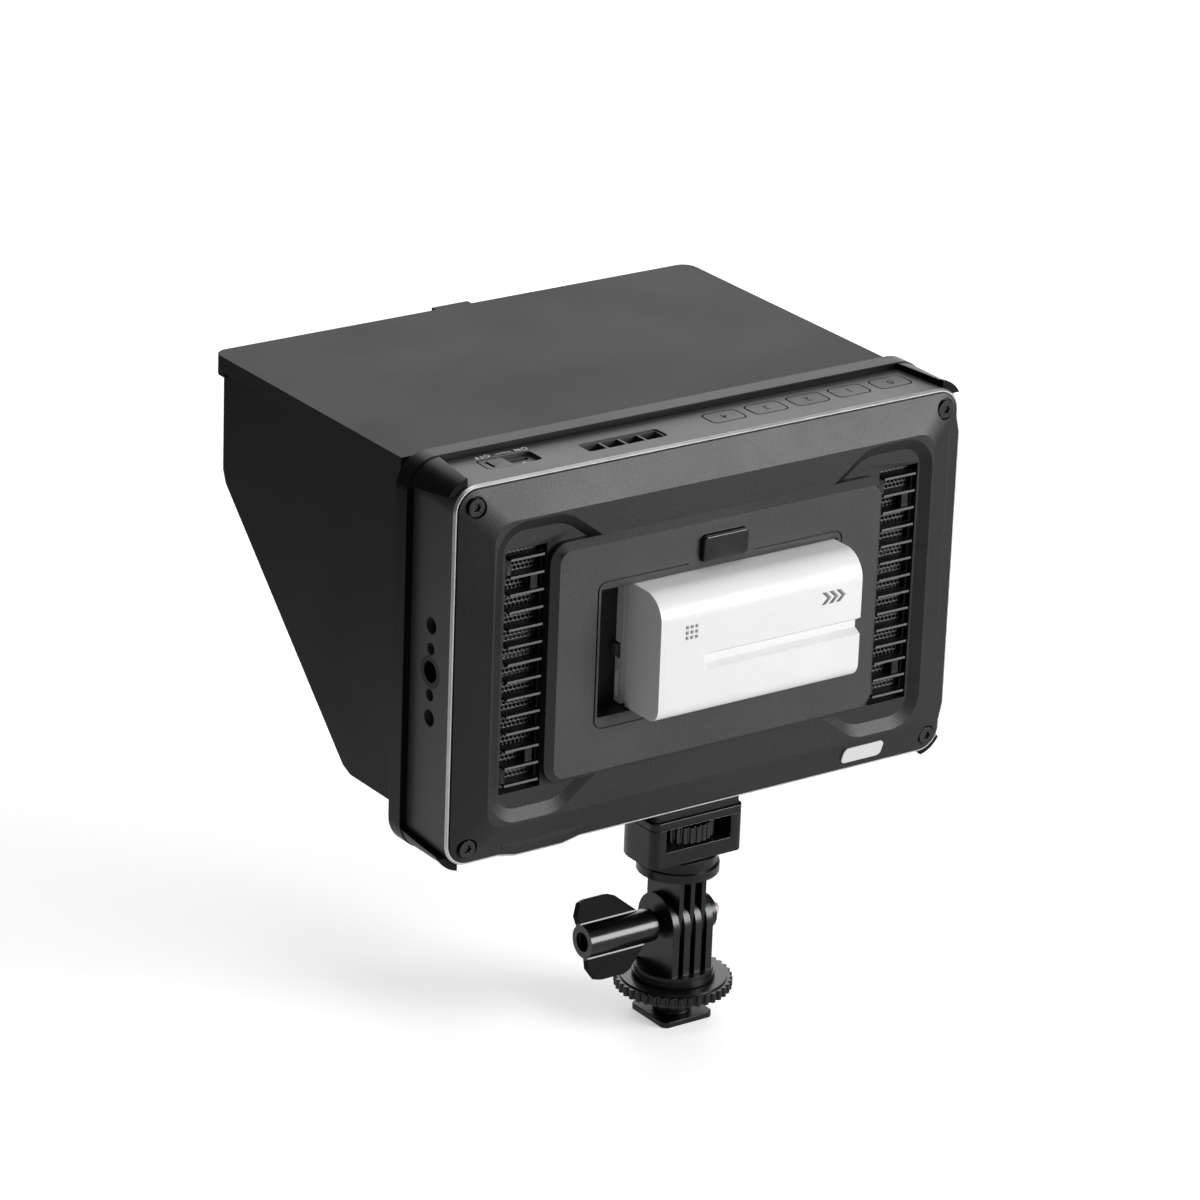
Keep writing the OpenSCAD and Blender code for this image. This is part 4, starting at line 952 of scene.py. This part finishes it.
@dataclass
class Vents(Assembly):
    """Fins and a perforated sheet behind each vent window.

    The sheet is a lattice of square cells. Each cell has a round hole: its inner ring is a circle and its
    outer ring the square, both as points at equal turns, and every second row is shifted half a cell.
    Fields are millimetres: the sheets are span apart and their middle lies at level along Y.
    """

    span: float = 130.6
    width: float = 16.8
    height: float = 76.8
    level: float = 1.3
    thick: float = 0.4
    cell: float = 1.4
    hole: float = 0.48
    corners: int = 8

    def build(self) -> None:
        """Dresses the fins and makes both sheets."""
        for side, sign in (("left", -1), ("right", 1)):
            CadNode(f"vent_grille_{side}", LOOKS.fins, 0.1, holed=True).build()
            node = f"vent_mesh_{side}"
            sheet = new_piece(f"perforated_sheet_{side}", *self.lattice(sign))
            body = sheet.modifiers.new("sheet_thickness", "SOLIDIFY")
            body.thickness, body.offset = self.thick * MM, 0.0
            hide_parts(node)
            dress(sheet, LOOKS.mesh, Rider.MONITOR.value)

    def lattice(self, sign: int) -> tuple[np.ndarray, list[tuple[int, ...]]]:
        """Points and faces of one sheet.

        A cell's outer point at turn t lies on the square: (cos t, sin t) over the larger of their
        absolute values, times half a cell. Its inner point lies on the circle of the hole.

        Args:
            sign: -1 for the left vent, 1 for the right.

        Returns:
            Points in metres and faces.
        """
        columns = int(self.width / self.cell) - 1
        rows = int(self.height / self.cell)
        t = np.arange(self.corners) * 2 * math.pi / self.corners
        ring = np.stack([np.cos(t), np.sin(t)], axis=1)
        square = ring / np.abs(ring).max(axis=1, keepdims=True) * self.cell / 2
        circle = ring * self.hole
        r, c = np.meshgrid(np.arange(rows), np.arange(columns), indexing="ij")
        x = (c - (columns - 1) / 2 + 0.5 * (r % 2) - 0.25) * self.cell
        z = (r - (rows - 1) / 2) * self.cell
        middle = np.stack([x.ravel(), z.ravel()], axis=1)
        flat = middle[:, None, :] + np.concatenate([square, circle])[None, :, :]
        points = np.full((*flat.shape[:2], 3), self.level)
        points[..., 0] = flat[..., 0] + sign * self.span / 2
        points[..., 2] = flat[..., 1]
        n = self.corners
        k = np.arange(n)
        one = np.stack([k, (k + 1) % n, n + (k + 1) % n, n + k], axis=1)
        faces = (np.arange(len(middle))[:, None, None] * 2 * n + one[None]).reshape(-1, 4)
        return PLACE.body(points.reshape(-1, 3)), [tuple(f) for f in faces.tolist()]


@dataclass
class BatteryBay(Assembly):
    """Battery plate, terminal, release button with its latch and spring. Its field press, in millimetres, is not
    used.
    """

    parts: Parts = (
        CadNode("battery_plate", LOOKS.plate, 0.3, 20.0),
        CadNode("terminal_block", LOOKS.contacts, 0.1),
        CadNode("release_button", LOOKS.button, 0.35),
        CadNode("battery_latch", LOOKS.latch, 0.15),
    )
    press: float = 1.8

    def build(self) -> None:
        """Dresses the nodes, and gives the spring's softened copy a mesh of its own."""
        super().build()
        coils = CadNode("release_spring", LOOKS.wire, 0.05).build()
        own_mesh(coils)


@dataclass
class Battery(Assembly):
    """Battery case with its printed dots and arrows.

    Fields give the marks' places on the body, in millimetres.
    """

    parts: Parts = (
        CadNode("battery_shell", LOOKS.battery, 0.25, 20.0),
        CadNode("battery_end_cap", LOOKS.battery, 0.2, 20.0),
        CadNode("battery_cells", LOOKS.cell),
    )
    face: float = -19.9
    ink: float = 0.04
    dot: float = 1.0
    dot_pitch: float = 1.62
    dots_at: tuple[float, float] = (-19.8, 8.6)
    arrow_from: float = 25.9
    arrow_pitch: float = 2.55
    arrow_height: float = 3.8
    arrow_middle: float = 9.5
    arrow_thick: float = 1.5
    arrow_reach: float = 2.0

    def build(self) -> None:
        """Dresses the case and adds the marks."""
        super().build()
        for name, outlines in (("battery_dots", self.dots()), ("battery_arrows", self.arrows())):
            mark = new_piece(name, *flat_prisms(outlines, self.face, self.ink, Facing.BACK))
            dress(mark, LOOKS.print_grey, Rider.BATTERY.value)

    def dots(self) -> list[np.ndarray]:
        """Nine small squares on a three by three grid."""
        corner = np.array([[-1, -1], [1, -1], [1, 1], [-1, 1]]) * self.dot / 2
        return [
            corner + np.array(self.dots_at) + self.dot_pitch * np.array([i, k])
            for i in (-1, 0, 1)
            for k in (-1, 0, 1)
        ]

    def arrows(self) -> list[np.ndarray]:
        """Three open arrow heads pointing the way the battery slides on.

        Returns:
            Their outlines.
        """
        h, t, r = self.arrow_height / 2, self.arrow_thick, self.arrow_reach
        shape = np.array([[0, h], [t, h], [t + r, 0], [t, -h], [0, -h], [r, 0]])
        return [shape + np.array([self.arrow_from + i * self.arrow_pitch, self.arrow_middle]) for i in range(3)]


@dataclass
class Controls(Assembly):
    """Keys, power switch, light and their legends on the roof.

    The arc from OFF to ON is a band between two circles about a point on the roof. Fields are millimetres
    on the body, and degrees for arc_turn.
    """

    parts: Parts = (
        CadNode("power_switch", LOOKS.keys, 0.12),
        CadNode("switch_body", LOOKS.dark_inside),
        CadNode("status_light", LOOKS.light),
        CadNode("button_board", LOOKS.board),
    )
    keys: int = 5
    key_x: float = 11.8
    key_pitch: float = 14.94
    key_y: float = 12.2
    key_letters: float = 4.0
    roof: float = 57.6
    key_proud: float = 0.05
    words: tuple[tuple[str, float], ...] = (("OFF", -67.4), ("ON", -54.4))
    words_y: float = 18.2
    word_letters: float = 2.6
    arc_at: tuple[float, float] = (-60.6, 11.1)
    arc_radii: tuple[float, float] = (7.3, 7.05)
    arc_turn: tuple[float, float] = (112.0, 68.0)
    arc_thick: float = 0.03

    def build(self) -> None:
        """Dresses the controls and prints their legends."""
        letters = Lettering()
        for k in range(self.keys):
            CadNode(f"button_{k + 1}", LOOKS.keys, 0.15).build()
            spot = (self.key_x + k * self.key_pitch, self.key_y, self.roof + self.key_proud)
            legend = letters.write(f"key_legend_{k + 1}", str(self.keys - 1 - k), self.key_letters, spot)
            dress(legend, LOOKS.print_dark, f"{Rider.KEY.value}{k + 1}")
        super().build()
        marks = [
            letters.write(f"{word.lower()}_legend", word, self.word_letters, (x, self.words_y, self.roof))
            for word, x in self.words
        ]
        marks.append(new_piece("switch_arrow", *flat_prisms([self.arc()], self.roof, self.arc_thick, Facing.ROOF)))
        for mark in marks:
            dress(mark, LOOKS.print_pale, Rider.MONITOR.value)

    def arc(self) -> np.ndarray:
        """The arc between the legends: outer circle one way, inner circle back.

        Returns:
            Its outline of (n, 2) points.
        """
        steps = 14
        turn = np.linspace(*np.radians(self.arc_turn), steps)
        ring = np.stack([np.cos(turn), np.sin(turn)], axis=1)
        outer, inner = self.arc_radii
        return np.array(self.arc_at) + np.concatenate([outer * ring, inner * ring[::-1]])


@dataclass
class Screen(Assembly):
    """Glass, bezel, display and what lies behind it."""

    parts: Parts = (
        CadNode("front_glass", LOOKS.glass, 0.15),
        CadNode("front_bezel", LOOKS.dark_inside),
        CadNode("lcd_panel", LOOKS.panel),
        CadNode("backlight", LOOKS.light_box),
        CadNode("heat_sink", LOOKS.sink),
        CadNode("main_board", LOOKS.board),
        CadNode("fan_frame", LOOKS.fan, 0.1, holed=True),
        CadNode("fan_rotor", LOOKS.fan),
        CadNode("hdmi_sockets", LOOKS.sheet, 0.1),
        CadNode("power_socket", LOOKS.contacts, 0.1),
    )


@dataclass
class Hood(Assembly):
    """Snap-on frame, three flaps and their pins."""

    parts: Parts = (
        CadNode("hood_frame", LOOKS.guard, 0.3, holed=True),
        CadNode("hood_top", LOOKS.hood, 0.3),
        CadNode("hood_wing_left", LOOKS.wing, 0.25),
        CadNode("hood_wing_right", LOOKS.wing, 0.25),
        CadNode("hood_top_pins", LOOKS.pins),
        CadNode("wing_left_pins", LOOKS.pins),
        CadNode("wing_right_pins", LOOKS.pins),
    )


@dataclass
class Mount(Assembly):
    """Clamp block, forks, knob, wheels and foot, with a ribbed rubber pad under the body.

    The pad's outline is a rounded rectangle. Its half sizes shrink by rib_depth times the square of
    cos(pi * ribs * h), where h goes from 0 at its foot to 1 at its top.
    """

    parts: Parts = (
        CadNode("mount_block", LOOKS.mount, 0.35),
        CadNode("block_cap", LOOKS.mount, 0.3),
        CadNode("thumbwheel", LOOKS.screws, 0.12),
        CadNode("mount_screw", LOOKS.steel),
        CadNode("swivel_screw", LOOKS.screws),
        CadNode("upper_fork", LOOKS.mount, 0.2),
        CadNode("lower_fork", LOOKS.mount, 0.25),
        CadNode("pivot_bolt", LOOKS.bolt),
        CadNode("cap_nut", LOOKS.bolt, 0.1),
        CadNode("wing_knob", LOOKS.knob, 0.4),
        CadNode("lock_wheel", LOOKS.mount, 0.15),
        CadNode("thrust_washer", LOOKS.foot),
        CadNode("shoe_foot", LOOKS.foot, 0.25),
    )
    pad_width: float = 31.0
    pad_depth: float = 19.2
    pad_radii: tuple[float, ...] = (8.2, 8.2, 1.8, 1.8)
    pad_foot: float = 67.8
    pad_height: float = 2.1
    pad_offset: float = 0.6
    ribs: int = 3
    rib_depth: float = 0.35

    def build(self) -> None:
        """Dresses the nodes and makes the pad."""
        super().build()
        rings = self.pad_rings()
        pad = new_piece("ribbed_pad", rings.reshape(-1, 3), loft_faces(*rings.shape[:2]))
        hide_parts("rubber_pad")
        dress(pad, LOOKS.pad, Rider.MONITOR.value)

    def pad_outline(self) -> np.ndarray:
        """Outline of the pad, anticlockwise.

        Each corner is a quarter circle: its centre plus the radius times (cos t, sin t).

        Returns:
            An array of (n, 2) points.
        """
        steps = 8
        turn = np.linspace(0.0, math.pi / 2, steps)
        angles = (np.arange(4)[:, None] * math.pi / 2 + turn[None, :]).ravel()
        signs = np.repeat([[1.0, 1.0], [-1.0, 1.0], [-1.0, -1.0], [1.0, -1.0]], steps, axis=0)
        radius = np.repeat(self.pad_radii, steps)[:, None]
        half = np.array([self.pad_width, self.pad_depth]) / 2
        return signs * (half - radius) + radius * np.stack([np.cos(angles), np.sin(angles)], axis=1)

    def pad_rings(self) -> np.ndarray:
        """The pad's outline at each height, shrunk between its ribs.

        Returns:
            An array of (rings, n, 3) places in metres.
        """
        h = np.linspace(0.0, 1.0, 8 * self.ribs + 1)
        shrink = self.rib_depth * np.cos(math.pi * self.ribs * h) ** 2
        line = self.pad_outline()
        factor_x = 1 - 2 * shrink / self.pad_width
        factor_y = 1 - 2 * shrink / self.pad_depth
        rings = np.zeros((len(h), len(line), 3))
        rings[..., 0] = line[None, :, 0] * factor_x[:, None]
        rings[..., 1] = line[None, :, 1] * factor_y[:, None] + self.pad_offset
        rings[..., 2] = (self.pad_foot + self.pad_height * h)[:, None]
        return rings * MM


# ---- studio


def stand(thing: bpy.types.Object, axes: list[np.ndarray], place: np.ndarray) -> None:
    """Stands an object at a place.

    Args:
        thing: the object.
        axes: its own x, y and z axes in the frame.
        place: where it stands, in metres.
    """
    turn = np.eye(4)
    turn[:3, :3] = np.stack(axes, axis=1)
    turn[:3, 3] = place
    thing.matrix_world = Matrix(turn.tolist())


@dataclass(frozen=True)
class SoftBox:
    """A square area light that looks at a place.

    Args:
        name: its name.
        place: where it hangs, in metres.
        aim: what it looks at.
        side: its side, in metres.
        power: its watts.
    """

    name: str
    place: Spot
    aim: Spot
    side: float
    power: float

    def hang(self) -> None:
        """Adds the light, with its z axis from the aim to its place and its x axis level."""
        data = bpy.data.lights.new(self.name, "AREA")
        data.size, data.energy = self.side, self.power
        look = np.array(self.place) - np.array(self.aim)
        z = look / np.linalg.norm(look)
        nearly_upright = 0.95
        x = np.cross([0.0, 1.0, 0.0] if abs(z[2]) > nearly_upright else [0.0, 0.0, 1.0], z)
        x = x / np.linalg.norm(x)
        stand(linked(self.name, data), [x, np.cross(z, x), z], np.array(self.place))


@dataclass
class Studio:
    """Pale floor, soft lights and the camera at the photograph's place.

    Args:
        eye: the camera's place, in millimetres.
        azimuth: its turn about Z, in degrees.
        elevation: how far it looks down, in degrees.
        roll: its turn about its own axis, in degrees.
        lens: focal length, in millimetres, as is the sensor's width.
        clip: nearest and farthest that it sees, in metres.
        floor_side: side of the floor, in metres.
        floor_glow: how strongly it shines where the camera sees it.
        share: how much of its paleness the floor throws back, at the left and at the right.
        rise: the share grows from this far left of the foot, over this reach, in metres.
        patch: middle of the lit patch. It fades out at patch_reach, in metres.
    """

    eye: Spot = (-896.04, -1217.77, 734.48)
    azimuth: float = -35.37
    elevation: float = 21.77
    roll: float = 2.14
    lens: float = 169.213
    sensor: float = 36.0
    clip: tuple[float, float] = (0.05, 50.0)
    floor_side: float = 8.0
    floor_tones: tuple[Colour, Colour] = ((0.9, 0.9, 0.9), (0.88, 0.88, 0.88))
    floor_glow: float = 0.55
    air: float = 0.1
    share: tuple[float, float] = (0.08, 0.3)
    rise: tuple[float, float] = (0.1, 0.25)
    patch: Spot = (-0.16, 0.1, 0.0)
    patch_reach: float = 0.6
    patch_glow: float = 0.85
    lights: tuple[SoftBox, ...] = (
        SoftBox("key_box", (1.05, -1.35, 0.55), (0.0, 0.0, 0.12), 0.9, 35.5),
        SoftBox("top_box", (0.15, -0.1, 1.5), (0.0, 0.0, 0.12), 1.0, 4.5),
        SoftBox("far_box", (1.2, 1.65, 0.95), (0.0, 0.05, 0.15), 2.2, 32.0),
        SoftBox("low_fill", (-1.0, -1.3, 0.2), (0.0, 0.0, 0.12), 0.5, 1.4),
    )

    def build(self) -> None:
        """Makes the floor, lights, world and camera."""
        self.floor()
        for light in self.lights:
            light.hang()
        world = bpy.data.worlds.new("studio_air")
        world.use_nodes = True
        sky = world.node_tree.nodes["Background"].inputs
        sky["Color"].default_value = (1.0, 1.0, 1.0, 1.0)
        sky["Strength"].default_value = self.air
        scene = bpy.context.scene
        scene.world = world
        scene.view_settings.view_transform = "Standard"
        self.camera()

    def floor(self) -> None:
        """A wide pale sheet under the foot, with a faint unevenness.

        Only the camera sees it at its full paleness. What it throws back at the monitor grows from left to
        right, as under one large lamp on the right, and a lit patch lies beside the monitor on its left.
        """
        verts = np.array([[-1, -1, 0], [1, -1, 0], [1, 1, 0], [-1, 1, 0]]) * self.floor_side / 2
        sheet = new_piece("studio_floor", verts, [(0, 1, 2, 3)])
        paper = Paper("studio_floor")
        mask = paper.effect(Effect.HANDLING, Size=0.6)
        draw = paper.sheet
        seen = draw.add("ShaderNodeLightPath").outputs["Is Camera Ray"]
        unseen = draw.maths("SUBTRACT", 1.0, seen)
        tint = draw.blend(mask, *self.floor_tones)
        x = draw.add("ShaderNodeSeparateXYZ", Vector=paper.place).outputs["X"]
        start, reach = self.rise
        right = draw.maths("MULTIPLY", draw.maths("ADD", x, start), 1 / reach, clamp=True)
        low, high = self.share
        share = draw.line(right, high - low, low)
        kept = draw.line(unseen, share, seen)
        thrown = draw.add("ShaderNodeVectorMath", operation="SCALE", Vector=tint, Scale=kept)
        paper.feed("Base Color", thrown.outputs[0])
        span = draw.add("ShaderNodeVectorMath", operation="DISTANCE", Vector=paper.place)
        span.inputs[1].default_value = self.patch
        away = draw.maths("DIVIDE", span.outputs["Value"], self.patch_reach)
        near = draw.maths("SUBTRACT", 1.0, away, clamp=True)
        patch = draw.maths("MULTIPLY", draw.maths("MULTIPLY", near, unseen), self.patch_glow)
        paper.feed("Emission Color", tint)
        paper.feed("Emission Strength", draw.line(seen, self.floor_glow, patch))
        paper.rough(0.8, 0.05, mask)
        paper.set(Specular_IOR_Level=0.2)
        sheet.data.materials.append(paper.material)

    def camera(self) -> None:
        """Places the camera: forward, right and up from azimuth and elevation, then the roll."""
        a, e, r = (math.radians(v) for v in (self.azimuth, self.elevation, self.roll))
        forward = np.array([-math.sin(a) * math.cos(e), math.cos(a) * math.cos(e), -math.sin(e)])
        right = np.array([math.cos(a), math.sin(a), 0.0])
        down = np.cross(forward, right)
        across = math.cos(r) * right - math.sin(r) * down
        below = math.sin(r) * right + math.cos(r) * down
        data = bpy.data.cameras.new("studio_camera")
        data.lens, data.sensor_width = self.lens, self.sensor
        data.clip_start, data.clip_end = self.clip
        camera = linked("studio_camera", data)
        stand(camera, [across, -below, -forward], np.array(self.eye) * MM)
        bpy.context.scene.camera = camera


def main() -> None:
    """Builds the studio and then the monitor's parts in order."""
    logging.basicConfig(level=logging.INFO, format="%(name)s %(message)s")
    Studio().build()
    for group in (Shell(), Vents(), BatteryBay(), Battery(), Controls(), Screen(), Hood(), Mount()):
        before = len(bpy.data.objects)
        group.build()
        LOG.info("%s: %d new pieces", type(group).__name__, len(bpy.data.objects) - before)
    bpy.context.view_layer.update()


if __name__ == "__main__":
    main()
